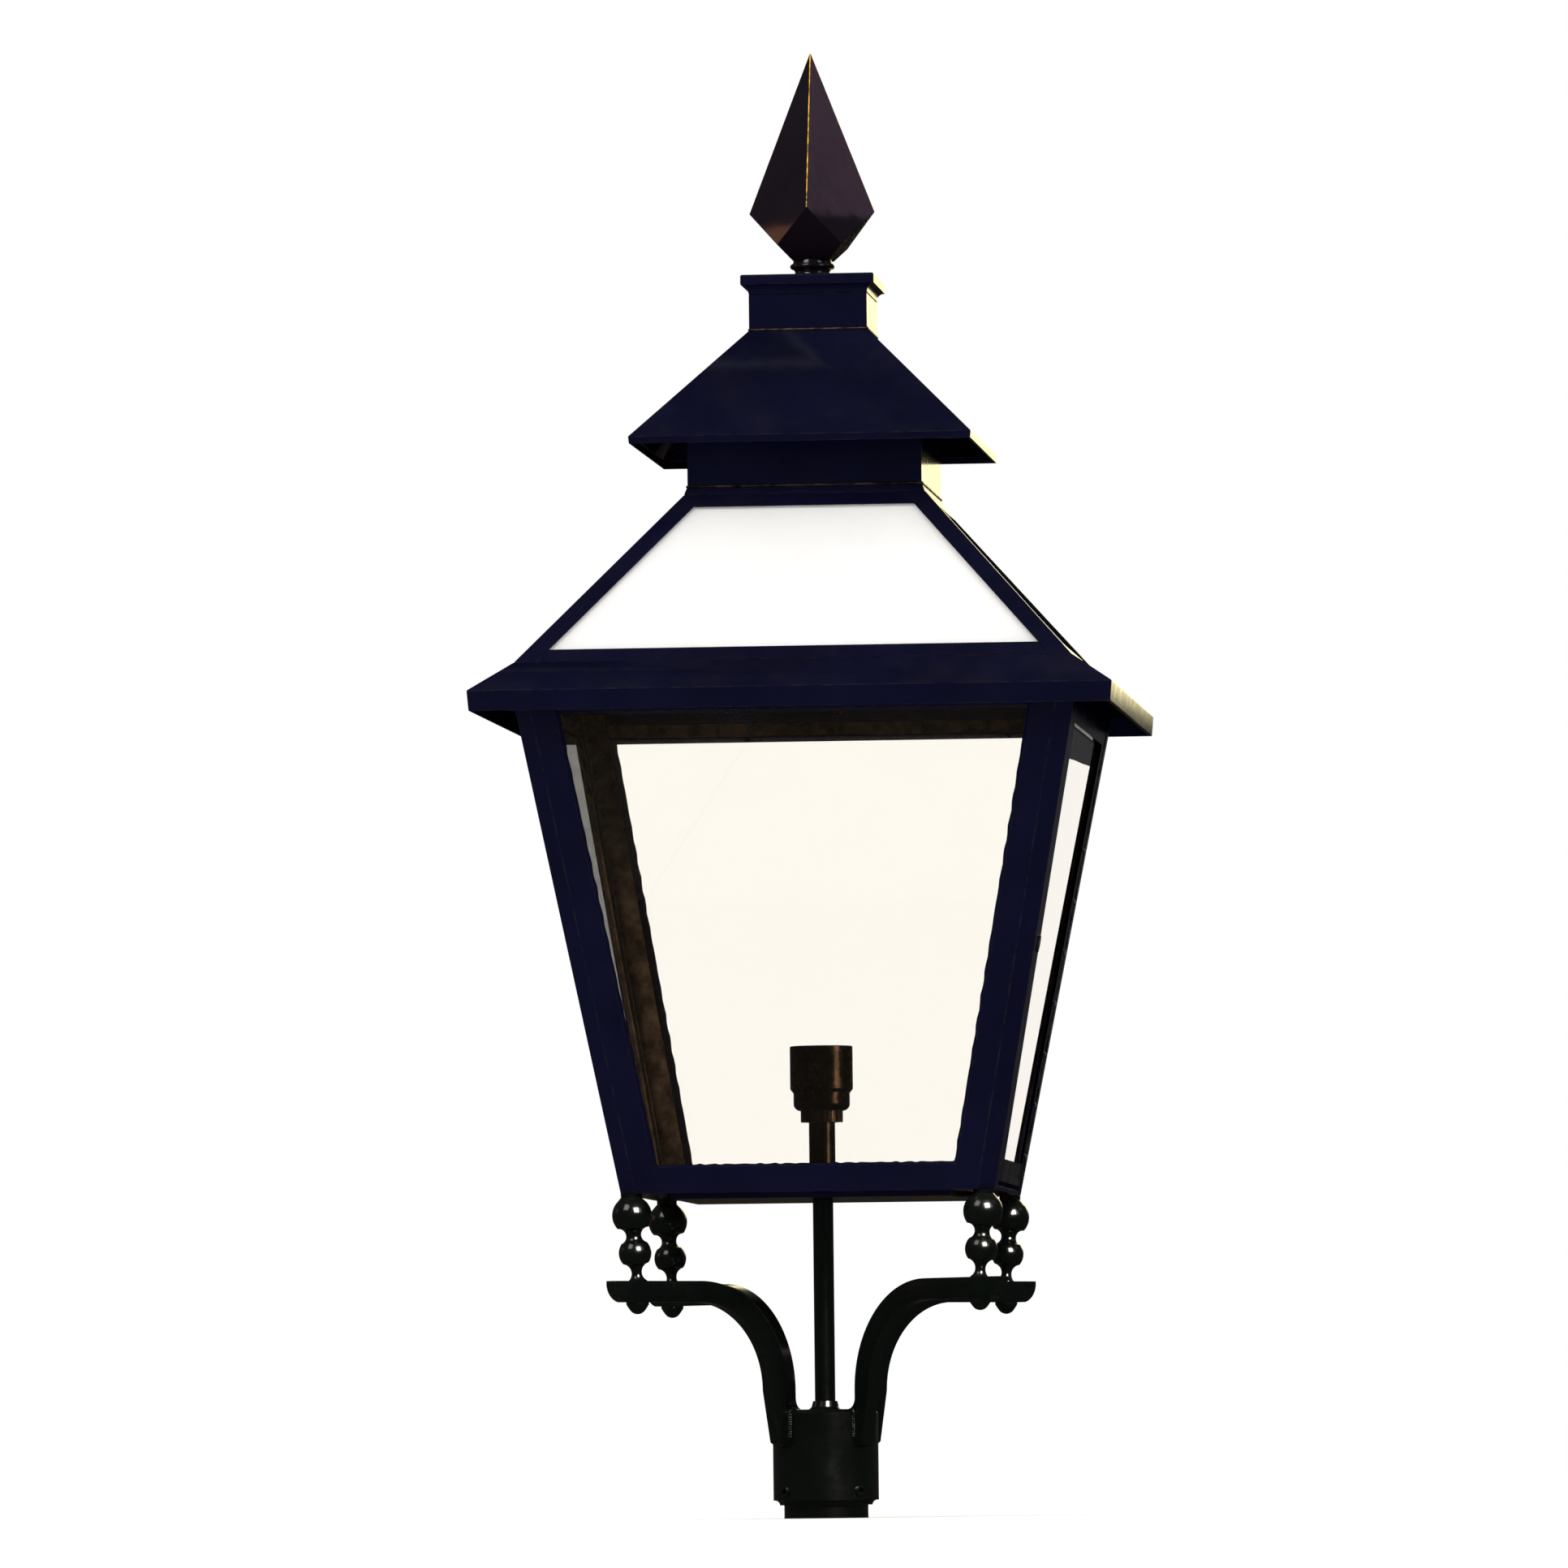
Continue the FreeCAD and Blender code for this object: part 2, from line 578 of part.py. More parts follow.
def beads():
    """Lower and upper bead behind one pane, between the inner angles."""
    end = BEHIND_GLASS + INNER_ANGLE_LEG
    depths = (BEHIND_GLASS, BEHIND_GLASS + BEAD)
    return [slab(BODY, BLOCK_TOP, BLOCK_TOP + BEAD_HEIGHT, depths, (end, end)),
            slab(BODY, BEAD_TOP - BEAD_HEIGHT, BEAD_TOP, depths, (end, end))]


def bead_screws():
    """Round heads along each upper bead of the three fixed panes."""
    z = BEAD_TOP - BEAD_HEIGHT / 2
    head = turned([(0, 0), (2.6, 0), dome(2.6, 1.6, 0)])
    head.rotate(V(0, 0, 0), V(0, 1, 0), math.degrees(math.atan(BODY_LEAN)) - 90)
    inner = BODY(z) - BEHIND_GLASS - BEAD
    heads = []
    for side in ("front", "left", "back"):
        for place in (-0.7, -0.35, 0, 0.35, 0.7):
            screw = head.copy()
            screw.translate(V(inner, place * inner, z))
            heads.append(about_z(screw, SIDES[side]))
    return heads


# ---- door ----
def door_bar(z_low, z_high, ends, depths=(0, SHEET)):
    """Flat part of the door frame."""
    return slab(BODY, z_low, z_high, depths, ends)


def hinge_point(z):
    """Point on the hinge axis at a height."""
    return V(BODY(z) - HINGE_SINK, BODY(z) - HINGE_END, z)


def hinge_way():
    """Unit vector up the hinge axis, which leans with the corner."""
    return V(BODY_LEAN, BODY_LEAN, 1).normalize()


def on_hinge(radius, z_low, z_high):
    """Rod on the hinge axis."""
    start = hinge_point(z_low)
    return Part.makeCylinder(radius, start.distanceToPoint(hinge_point(z_high)), start, hinge_way())


def door_frame():
    """Two stiles and two rails, each with a rib that the pane lies against."""
    low = DOOR_Z + DOOR_RAIL_LOW
    high = DOOR_TOP - DOOR_RAIL_HIGH
    deep = (SHEET, BEHIND_GLASS + BEAD)
    front = stile(FRONT_STILE_END, deep, -1)
    back = stile(BACK_STILE_END, deep, 1)
    ends = (STILE_LAST, STILE_LAST)
    rail_low = joined(door_bar(DOOR_Z, low, ends),
                      door_bar(low - DOOR_LAP - 1.7, low - DOOR_LAP - 0.2, ends, deep))
    rail_high = joined(door_bar(high, DOOR_TOP, ends),
                       door_bar(high + DOOR_LAP - 1.8, high + DOOR_LAP - 0.3, ends, deep))
    return [front.cut(latch_rod(LATCH_RADIUS + 0.07, -2, 12)), back, rail_low, rail_high]


def stile(edge, rib_depths, way):
    """Stile with its rib behind it, near the front (way -1) or the back corner (way 1)."""
    levels = (DOOR_Z, DOOR_TOP)
    return joined(strip(levels, (0, SHEET), edge, STILE_LAST, way),
                  strip(levels, rib_depths, DOOR_RIB_END, DOOR_RIB_END + DOOR_RIB, way))


def strip(levels, depths, near, away, way):
    """Upright strip on the +X wall; near and away are from its front (way -1) or back corner (way 1)."""
    rings = []
    for z in levels:
        half = BODY(z)
        rings.append([V(half - depths[1], way * (half - near), z), V(half - depths[0], way * (half - near), z),
                      V(half - depths[0], way * (half - away), z), V(half - depths[1], way * (half - away), z)])
    return prism(*rings)


def door_glass():
    """Pane held in the door frame."""
    low = DOOR_Z + DOOR_RAIL_LOW - DOOR_LAP
    high = DOOR_TOP - DOOR_RAIL_HIGH + DOOR_LAP - 2
    return slab(BODY, low, high, (SHEET, BEHIND_GLASS), (DOOR_GLASS_END, DOOR_GLASS_END))


def door_beads():
    """Four beads behind the door's pane."""
    low = DOOR_Z + DOOR_RAIL_LOW - DOOR_LAP
    high = DOOR_TOP - DOOR_RAIL_HIGH + DOOR_LAP - 2
    depths = (BEHIND_GLASS, BEHIND_GLASS + BEAD)
    width = DOOR_LAP - 0.5
    ends = (DOOR_BEAD_END, DOOR_BEAD_END)
    rails = [slab(BODY, z, z + width, depths, ends) for z in (low, high - width)]
    levels = (low + width, high - width)
    upright = [strip(levels, depths, DOOR_BEAD_END, DOOR_BEAD_END + width, way) for way in (-1, 1)]
    return rails + upright


def door_stop():
    """Strip behind the front right post that the door shuts against."""
    levels = (BLOCK_TOP, DOOR_TOP)
    near = POST_FACE - STOP_ON_POST
    return joined(strip(levels, (SHEET, SHEET + 1), near, POST_FACE, -1),
                  strip(levels, (SHEET + GAP, SHEET + 2), near, POST_FACE + STOP_PAST_POST, -1))


HINGE_Z = BLOCK_TOP + 1.5
HINGE_COUNT = int(HINGE_KNUCKLED / HINGE_PITCH)
HINGE_SPLIT = HINGE_Z + HINGE_COUNT * HINGE_PITCH


def hinge_leaf(on_door):
    """Hinge leaf with every other knuckle; the post's leaf ends in one long knuckle."""
    door_ends = (-HINGE_REACH - HINGE_LEAF_WIDTH, -HINGE_REACH)
    post_ends = (HINGE_REACH, HINGE_REACH + POST_LEAF_WIDTH)
    top = DOOR_TOP - 1.5
    shape = hinge_strip(door_ends if on_door else post_ends, HINGE_Z, HINGE_SPLIT if on_door else top)
    own = [i for i in range(HINGE_COUNT) if (i % 2 == 1) == on_door]
    spans = [(HINGE_Z + i * HINGE_PITCH, HINGE_Z + (i + 1) * HINGE_PITCH - GAP) for i in own]
    if not on_door:
        spans.append((HINGE_SPLIT + GAP, top))
    pieces = []
    for z_low, z_high in spans:
        pieces.append(on_hinge(HINGE_RADIUS, z_low, z_high))
        pieces.append(hinge_tab(z_low, z_high, -1 if on_door else 1))
    shape = shape.fuse(pieces)
    bore = on_hinge(HINGE_PIN + (FIT if on_door else 0.02), HINGE_Z - 5, top + 5)
    return shape.cut(bore)


def hinge_strip(ends, z_low, z_high):
    """Plate level with the hinge axis; ends are measured from it towards the back corner."""
    rings = []
    for z in (z_low, z_high):
        point = hinge_point(z)
        rings.append([V(point.x - HINGE_LEAF, point.y + ends[0], z), V(point.x, point.y + ends[0], z),
                      V(point.x, point.y + ends[1], z), V(point.x - HINGE_LEAF, point.y + ends[1], z)])
    return prism(*rings)


def hinge_tab(z_low, z_high, side):
    """Web from a knuckle to its leaf, square to the hinge axis."""
    start = hinge_point(z_low)
    way = hinge_way()
    length = start.distanceToPoint(hinge_point(z_high))
    across = (V(0, side, 0) - way * (side * way.y)).normalize() * (HINGE_RADIUS + GAP + 0.5)
    ring = [start, start + across, start + across + way * length, start + way * length]
    inwards = V(-1, 0, BODY_LEAN).normalize() * HINGE_LEAF
    return Part.Face(Part.makePolygon(ring + ring[:1])).extrude(inwards)


def hinge_pin():
    """Wire pin through all the knuckles."""
    return on_hinge(HINGE_PIN, HINGE_Z - 0.5, DOOR_TOP - 2)


FACE_WAY = V(1, 0, -BODY_LEAN).normalize()      # outwards, square to the door
LATCH_MIDDLE = V(BODY(LATCH_Z), FRONT_STILE_END + LATCH_INSET - BODY(LATCH_Z), LATCH_Z)
LATCH_INNER = BEHIND_GLASS - 1.3
HEAD_THICK = 1.0
KEY_SQUARE = 4.0
KEY_DEPTH = 1.5


def latch_rod(radius, depth_out, depth_in):
    """Rod square to the door's face at the latch; depths run inwards from the face."""
    return Part.makeCylinder(radius, depth_in - depth_out, LATCH_MIDDLE - FACE_WAY * depth_in, FACE_WAY)


def latch_barrel():
    """Flush barrel with a thin head and a square key recess."""
    barrel = joined(latch_rod(LATCH_RADIUS, -GAP, LATCH_INNER), latch_rod(LATCH_HEAD, -GAP - HEAD_THICK, -GAP))
    recess = Part.makeBox(KEY_SQUARE, KEY_SQUARE, 2 * KEY_DEPTH, V(-KEY_SQUARE / 2, -KEY_SQUARE / 2, 0))
    recess.rotate(V(0, 0, 0), V(0, 1, 0), 90 + math.degrees(math.atan(BODY_LEAN)))
    recess.translate(LATCH_MIDDLE - FACE_WAY * KEY_DEPTH)
    return barrel.cut(recess)


def latch_tongue():
    """Cam on the barrel's inner end, hanging down when the door is free."""
    up = V(BODY_LEAN, 0, 1).normalize()
    start = LATCH_MIDDLE - FACE_WAY * (LATCH_INNER + TONGUE_THICK)
    corners = [start + V(0, TONGUE_WIDTH / 2, 0), start + V(0, -TONGUE_WIDTH / 2, 0)]
    foot = up * -(TONGUE_REACH - 1)
    ring = [corners[0], corners[0] + foot, corners[1] + foot, corners[1]]
    plate = Part.Face(Part.makePolygon(ring + ring[:1])).extrude(FACE_WAY * TONGUE_THICK)
    return joined(plate, latch_rod(LATCH_HUB, LATCH_INNER, LATCH_INNER + TONGUE_THICK))


# ---- roof ----
def hip_bar():
    """Folded bar over a corner of the roof."""
    return corner_bar(ROOF, BREAK_Z, CURB_Z, [
        (0, 0), (0, HIP_FACE), (ROOF_SHEET, HIP_FACE), (ROOF_SHEET, ROOF_SHEET),
        (HIP_FACE, ROOF_SHEET), (HIP_FACE, 0)])


def roof_rails():
    """Lower and upper bar of one slope, between its hips."""
    depths = (0, ROOF_SHEET)
    return [slab(ROOF, BREAK_Z, BREAK_Z + ROOF_RAIL_LOW, depths, (HIP_FACE, HIP_FACE)),
            slab(ROOF, CURB_Z - ROOF_RAIL_HIGH, CURB_Z, depths, (HIP_FACE, HIP_FACE))]


def roof_pane():
    """Opal pane under the bars of one slope."""
    return slab(ROOF, BREAK_Z + 3, CURB_Z - 2.5, (ROOF_SHEET, ROOF_SHEET + ROOF_GLASS), (12, 12))


def eave_panel():
    """Flared skirt and the fascia at its edge."""
    fascia = straight(EAVE_HALF - FASCIA_TUCK, EAVE_Z - FASCIA, EAVE_HALF, EAVE_Z)
    return joined(mitred(EAVE, EAVE_Z, BREAK_Z, (0, EAVE_SHEET)),
                  mitred(fascia, EAVE_Z - FASCIA, EAVE_Z, (0, 2.5)))


def seat_bars():
    """Square ring between the body's top rails and the roof."""
    inner = seat_middle() - SEAT_BAR / 2
    outer = seat_middle() + SEAT_BAR / 2
    bars = []
    for angle in (0, 90, 180, 270):
        length = outer if angle in (0, 180) else inner
        bar = Part.makeBox(SEAT_BAR, 2 * length, 8, V(inner, -length, TOP_Z))
        bars.append(about_z(bar.cut(roof_screw_hole()), angle))
    return bars


def curb_plate():
    """Short slope between the roof and the chimney."""
    curb = straight(CURB_HALF, CURB_Z, LOWER_CHIMNEY_HALF + 0.3, NECK_Z)
    return mitred(curb, CURB_Z, NECK_Z, (0, ROOF_SHEET))


def chimney_plate(half, z_low, z_high):
    """Upright side of a square chimney."""
    return mitred(lambda z: half, z_low, z_high, (0, CHIMNEY_SHEET))


def hood_panel():
    """Sloping side of the hood with a short lip."""
    lip = straight(HOOD_HALF - 0.5, HOOD_Z - HOOD_LIP, HOOD_HALF, HOOD_Z)
    return joined(mitred(HOOD, HOOD_Z, HOOD_TOP, (0, 1.4 * CHIMNEY_SHEET)),
                  mitred(lip, HOOD_Z - HOOD_LIP, HOOD_Z, (0, CHIMNEY_SHEET)))


def hood_stay():
    """Upright strip from the lower chimney to the underside of the hood."""
    outer = LOWER_CHIMNEY_HALF - CHIMNEY_SHEET
    under = HOOD_TOP - (outer + 1.4 * CHIMNEY_SHEET - UPPER_CHIMNEY_HALF) * HOOD_RISE / (
        HOOD_HALF - UPPER_CHIMNEY_HALF)
    low = NECK_Z + LOWER_CHIMNEY_HEIGHT - 30
    return Part.makeBox(CHIMNEY_SHEET, 20, under - GAP - low, V(outer - CHIMNEY_SHEET, -10, low))


# ---- cap and finial ----
def cap_plate():
    """Moulded plate over the upper chimney."""
    cove_top = CAP_Z + CAP_COVE
    neck = UPPER_CHIMNEY_HALF
    cap = square_moulding([
        (0, CAP_Z), (neck + 0.3, CAP_Z), ((neck + 1.6, cove_top - 1.8), (CAP_HALF - 1.2, cove_top)),
        (CAP_HALF, cove_top), (CAP_HALF, CAP_TOP - 0.8), (CAP_HALF - 0.8, CAP_TOP), (0, CAP_TOP)])
    return cap.cut(hole(FINIAL_STUD + FIT, CAP_Z, CAP_TOP))


def finial_neck():
    """Turned neck with a bead."""
    z = CAP_TOP
    neck = turned([
        (0, z), (NECK_RADIUS, z), (NECK_RADIUS, z + 2), ((NECK_RADIUS - 3, z + 4.5), (NECK_RADIUS - 1.5, z + 7)),
        ((NECK_RADIUS + 0.5, z + 9), (NECK_RADIUS - 1.5, z + 11)), (NECK_RADIUS - 2, z + NECK_HEIGHT),
        (0, z + NECK_HEIGHT)])
    return neck.cut(hole(FINIAL_STUD + FIT, z, z + NECK_HEIGHT))


def finial():
    """Faceted spear: a pyramid over a girdle turned 45 degrees to its foot."""
    girdle_z = FINIAL_Z + FINIAL_GIRDLE_RISE
    foot_z = FINIAL_Z + 9.5
    tip = V(0, 0, FINIAL_Z + FINIAL_HEIGHT)
    girdle = [V(FINIAL_HALF * math.cos(a), FINIAL_HALF * math.sin(a), girdle_z)
              for a in [math.pi / 2 * i for i in range(4)]]
    foot = square_ring(FINIAL_FOOT_HALF, foot_z)
    neck = square_ring(FINIAL_NECK_HALF, FINIAL_Z)
    rings = [neck]
    for i in range(4):
        j = (i + 1) % 4
        rings.append([girdle[i], girdle[j], tip])
        rings.append([girdle[i], girdle[j], foot[i]])
        rings.append([girdle[j], foot[i], foot[j]])
        rings.append([foot[i], foot[j], neck[j], neck[i]])
    shell = Part.makeShell([Part.Face(Part.makePolygon(ring + ring[:1])) for ring in rings])
    shell.sewShape()
    spear = Part.makeSolid(shell)
    if spear.Volume < 0:
        spear.reverse()
    tip_cut = prism_box(5, FINIAL_Z + FINIAL_HEIGHT - 1.6, FINIAL_Z + FINIAL_HEIGHT + 5)
    return spear.cut([hole(FINIAL_STUD + FIT, FINIAL_Z, FINIAL_Z + 27), tip_cut])


def square_ring(half, z):
    """Corners of a square, from +X +Y round."""
    return [V(half, half, z), V(-half, half, z), V(-half, -half, z), V(half, -half, z)]


def finial_stud():
    """Threaded rod that ties finial, neck and cap together."""
    return tube(FINIAL_STUD, 0, CAP_Z - 9, FINIAL_Z + 25)


def finial_nut():
    """Nut under the cap."""
    nut = hexagon(13, CAP_Z - 6.5, CAP_Z)
    return nut.cut(hole(FINIAL_STUD + FIT, CAP_Z - 6.5, CAP_Z))


# ---- lamp fitting ----
COLLAR_TOP = STEM_TOP_Z + COLLAR_HEIGHT
HOLDER_TOP = COLLAR_TOP + HOLDER_BODY_HEIGHT
SHROUD_TOP = HOLDER_TOP + SHROUD_HEIGHT


def lamp_stem():
    """Tube that screws over the end of the supply tube."""
    stem = tube(STEM_RADIUS, TUBE_RADIUS - TUBE_WALL, PAN_Z + PAN_SHEET + LOCKNUT_HEIGHT, STEM_TOP_Z + 3)
    return stem.cut(hole(TUBE_RADIUS + FIT, BASE_Z - 20, TUBE_TOP - 1))


def lampholder_collar():
    """Knurled collar."""
    ring = tube(COLLAR_RADIUS, STEM_RADIUS + FIT, STEM_TOP_Z, COLLAR_TOP)
    grooves = [hole(0.9, STEM_TOP_Z, COLLAR_TOP, (COLLAR_RADIUS + 0.3) * math.cos(a),
                    (COLLAR_RADIUS + 0.3) * math.sin(a))
               for a in [2 * math.pi * i / 24 for i in range(24)]]
    return ring.cut(grooves)


def lampholder_body():
    """Tapered base of the lampholder."""
    z = COLLAR_TOP
    body = turned([
        (0, z), (COLLAR_RADIUS - 0.5, z), ((COLLAR_RADIUS + 3.4, z + 1.4), (HOLDER_BODY_RADIUS, z + 5)),
        (HOLDER_BODY_RADIUS, HOLDER_TOP), (0, HOLDER_TOP)])
    return body.cut(hole(TUBE_RADIUS - TUBE_WALL, z, HOLDER_TOP))


def lampholder_shroud():
    """Cup with an open top; its floor sits on the body."""
    inner = SHROUD_RADIUS - SHROUD_WALL
    cup = turned([
        (0, HOLDER_TOP), (HOLDER_BODY_RADIUS + 0.4, HOLDER_TOP), (SHROUD_RADIUS, HOLDER_TOP + 2.6),
        (SHROUD_RADIUS, SHROUD_TOP - 0.6), (SHROUD_RADIUS - 0.6, SHROUD_TOP), (inner, SHROUD_TOP),
        (inner, HOLDER_TOP + SHROUD_FLOOR), (0, HOLDER_TOP + SHROUD_FLOOR)])
    return cup.cut(hole(TUBE_RADIUS - TUBE_WALL, HOLDER_TOP, HOLDER_TOP + SHROUD_FLOOR))


INSERT_FLOOR = HOLDER_TOP + SHROUD_FLOOR
INSERT_TOP = SHROUD_TOP - 2
WELL_FLOOR = INSERT_TOP - INSERT_DEPTH - CONTACT_WELL_DEPTH


def lampholder_insert():
    """Porcelain insert: a bore for the cap, two bayonet slots, and a narrower well for the contacts."""
    body = tube(SHROUD_RADIUS - SHROUD_WALL - 0.1, INSERT_BORE, INSERT_TOP - INSERT_DEPTH, INSERT_TOP)
    foot = tube(SHROUD_RADIUS - SHROUD_WALL - 0.1, CONTACT_WELL, WELL_FLOOR, INSERT_TOP - INSERT_DEPTH)
    floor = tube(SHROUD_RADIUS - SHROUD_WALL - 0.1, 0, INSERT_FLOOR, WELL_FLOOR)
    slot = Part.makeBox(2 * (INSERT_BORE + 2.2), 2.6, 9, V(-INSERT_BORE - 2.2, -1.3, INSERT_TOP - 8))
    wires = [hole(CONTACT_RADIUS + 0.1, INSERT_FLOOR, WELL_FLOOR, 0, y)
             for y in (-CONTACT_PITCH / 2, CONTACT_PITCH / 2)]
    return joined(body, foot, floor).cut([slot] + wires)


def lamp_contacts():
    """Two sprung plungers that stand up in the well, their tips just below the bore's shoulder."""
    tip = INSERT_TOP - INSERT_DEPTH - 0.5 - CONTACT_RADIUS
    plunger = joined(Part.makeCylinder(CONTACT_RADIUS, tip - INSERT_FLOOR, V(0, 0, INSERT_FLOOR)),
                     Part.makeSphere(CONTACT_RADIUS, V(0, 0, tip)))
    return [moved(plunger, 0, y) for y in (-CONTACT_PITCH / 2, CONTACT_PITCH / 2)]


def build_frog():
    save("post_socket", post_socket())
    save("spigot_sleeve", spigot_sleeve())
    save("socket_set_screws", socket_set_screws())
    for corner, angle in CORNERS.items():
        save("frog_arm_" + corner, about_z(frog_arm(), angle + 45))
    save("corner_spindles", four_times(corner_spindle(), 45))
    save("spindle_nuts", four_times(spindle_nut(), 45))
    save("supply_tube", supply_tube())
    save("tube_locknuts", tube_locknuts())


def build_body():
    for side, angle in SIDES.items():
        height = SHEET if side == "right" else BASE_RAIL_HEIGHT
        rail = base_rail(height, POST_FACE)
        screw = hole(PAN_SCREW + FIT, BASE_Z, BASE_Z + SHEET, PAN_HALF + PAN_FLANGE - 3)
        save("base_rail_" + side, about_z(rail.cut(screw), angle))
    save("corner_blocks", four_times(corner_block()))
    save("floor_pan", floor_pan())
    save("floor_screws", floor_screws())
    for corner, angle in CORNERS.items():
        save("corner_post_" + corner, about_z(corner_post(), angle))
    save("top_rails", [about_z(top_rail(side == "right"), angle) for side, angle in SIDES.items()])
    for side in ("front", "left", "back"):
        save("glass_" + side, about_z(pane(), SIDES[side]))
    fixed = [SIDES[side] for side in ("front", "left", "back")]
    save("glazing_beads", [about_z(bead, angle) for angle in fixed for bead in beads()])
    save("bead_screws", bead_screws())
    save("inner_corner_angles", four_times(inner_angle()))


def build_door():
    save("door_stop", door_stop())
    save("door_frame", door_frame())
    save("door_glass", door_glass())
    save("door_beads", door_beads())
    save("hinge_leaf_post", hinge_leaf(False))
    save("hinge_leaf_door", hinge_leaf(True))
    save("hinge_pin", hinge_pin())
    save("latch_barrel", latch_barrel())
    save("latch_tongue", latch_tongue())


def build_roof():
    save("roof_seat_ring", seat_bars())
    save("roof_screws", four_times(roof_screw()))
    save("roof_hip_bars", four_times(hip_bar()))
    save("roof_rails", [bar for rail in roof_rails() for bar in four_times(rail)])
    save("roof_glass", four_times(roof_pane()))
    save("roof_curb", four_times(curb_plate()))
    save("eave_panels", four_times(eave_panel()))
    lower = chimney_plate(LOWER_CHIMNEY_HALF, NECK_Z, NECK_Z + LOWER_CHIMNEY_HEIGHT)
    save("lower_chimney", four_times(lower))
    save("hood_stays", four_times(hood_stay()))
    save("hood", four_times(hood_panel()))
    save("upper_chimney", four_times(chimney_plate(UPPER_CHIMNEY_HALF, HOOD_TOP, CAP_Z)))
    save("cap_plate", cap_plate())
    save("finial_neck", finial_neck())
    save("finial", finial())
    save("finial_stud", finial_stud())
    save("finial_nut", finial_nut())


def build_lamp():
    save("lamp_stem", lamp_stem())
    save("lampholder_collar", lampholder_collar())
    save("lampholder_body", lampholder_body())
    save("lampholder_shroud", lampholder_shroud())
    save("lampholder_insert", lampholder_insert())
    save("lamp_contacts", lamp_contacts())


os.makedirs("parts", exist_ok=True)
build_frog()
build_body()
build_door()
build_roof()
build_lamp()
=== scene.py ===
"""Square post-top street lantern: gloss-painted sheet steel on a cast-iron frog.

It is laid out as an add-on and run as a script. Each operator makes one group of pieces round the
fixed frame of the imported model, in metres, with +Z up and the front facing -Y.
"""
import json
import math

import bmesh
import bpy
from mathutils import Matrix, Vector

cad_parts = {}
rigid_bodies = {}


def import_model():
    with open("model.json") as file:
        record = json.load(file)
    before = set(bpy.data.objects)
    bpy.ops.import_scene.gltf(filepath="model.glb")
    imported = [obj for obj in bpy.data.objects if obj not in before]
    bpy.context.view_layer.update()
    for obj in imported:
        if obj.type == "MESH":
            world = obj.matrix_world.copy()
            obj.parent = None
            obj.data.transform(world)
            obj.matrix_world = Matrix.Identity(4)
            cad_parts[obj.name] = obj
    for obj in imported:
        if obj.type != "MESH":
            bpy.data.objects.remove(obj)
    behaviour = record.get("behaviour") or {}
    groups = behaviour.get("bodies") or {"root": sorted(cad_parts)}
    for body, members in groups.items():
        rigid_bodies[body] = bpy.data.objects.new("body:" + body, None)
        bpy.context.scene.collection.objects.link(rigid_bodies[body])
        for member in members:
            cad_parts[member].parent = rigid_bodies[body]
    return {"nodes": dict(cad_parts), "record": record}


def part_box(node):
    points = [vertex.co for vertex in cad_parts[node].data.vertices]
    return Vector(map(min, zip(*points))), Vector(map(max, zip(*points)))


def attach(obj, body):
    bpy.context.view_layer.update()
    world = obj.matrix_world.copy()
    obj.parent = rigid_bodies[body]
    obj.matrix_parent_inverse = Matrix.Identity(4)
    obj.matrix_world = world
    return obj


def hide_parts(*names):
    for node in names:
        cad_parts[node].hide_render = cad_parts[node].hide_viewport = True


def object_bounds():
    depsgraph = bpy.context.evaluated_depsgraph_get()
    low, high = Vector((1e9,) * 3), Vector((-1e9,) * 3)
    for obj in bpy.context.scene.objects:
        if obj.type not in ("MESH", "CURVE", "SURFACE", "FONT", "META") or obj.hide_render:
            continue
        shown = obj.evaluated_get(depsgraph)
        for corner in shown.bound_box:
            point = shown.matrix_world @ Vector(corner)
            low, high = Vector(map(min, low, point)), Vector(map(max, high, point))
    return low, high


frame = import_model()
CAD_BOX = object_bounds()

bl_info = {
    "name": "Square street lantern",
    "version": (1, 0, 0),
    "blender": (4, 5, 0),
    "location": "View3D > Sidebar > Lantern",
    "description": "Dresses a square post-top street lantern, piece by piece",
    "category": "Object",
}

MM = 0.001
SHEET = 3.0 * MM         # sheet metal of the posts and rails
POST_FACE = 29.1 * MM    # width of a corner post's face
BAR = 10.0 * MM          # thickness of a bar of the frog
SOCKET_WALL = 7.6 * MM   # from the liner's outside to the socket's outside
BOSS = 6.0 * MM          # the tube's boss above the socket's crown
BAR_FOOT = 54.0 * MM     # height at which the frog's bars end on the socket
BITE = 0.1 * MM          # how far an added bead or head sinks into what carries it

SHEET_METAL = (
    "base_rail_front", "base_rail_right", "base_rail_back", "base_rail_left",
    "corner_post_front_left", "corner_post_front_right", "corner_post_back_left",
    "corner_post_back_right", "top_rails", "roof_seat_ring", "roof_hip_bars", "roof_rails",
    "roof_curb", "eave_panels", "lower_chimney", "hood_stays", "hood", "upper_chimney",
    "cap_plate", "door_stop", "corner_blocks", "floor_pan")
DOOR_METAL = ("door_frame",)
CASTINGS = (
    "frog_arm_front_left", "frog_arm_front_right", "frog_arm_back_left", "frog_arm_back_right",
    "post_socket", "spigot_sleeve", "tube_locknuts")
BRONZE_STRIPS = ("glazing_beads", "inner_corner_angles")
DOOR_BRONZE = ("door_beads",)
SPEAR = ("finial",)
ROUND_WORK = (
    "corner_spindles", "spindle_nuts", "supply_tube", "socket_set_screws")
DOOR_EDGE = ("door_glass", "hinge_leaf_door", "hinge_leaf_post", "hinge_pin")
LAMPHOLDER = ("lamp_stem", "lampholder_collar", "lampholder_body", "lampholder_shroud")


def linear(code):
    """Linear red, green and blue of an sRGB hex colour."""
    parts = [int(code[i:i + 2], 16) / 255 for i in (1, 3, 5)]
    return tuple(c / 12.92 if c <= 0.04045 else ((c + 0.055) / 1.055) ** 2.4 for c in parts)


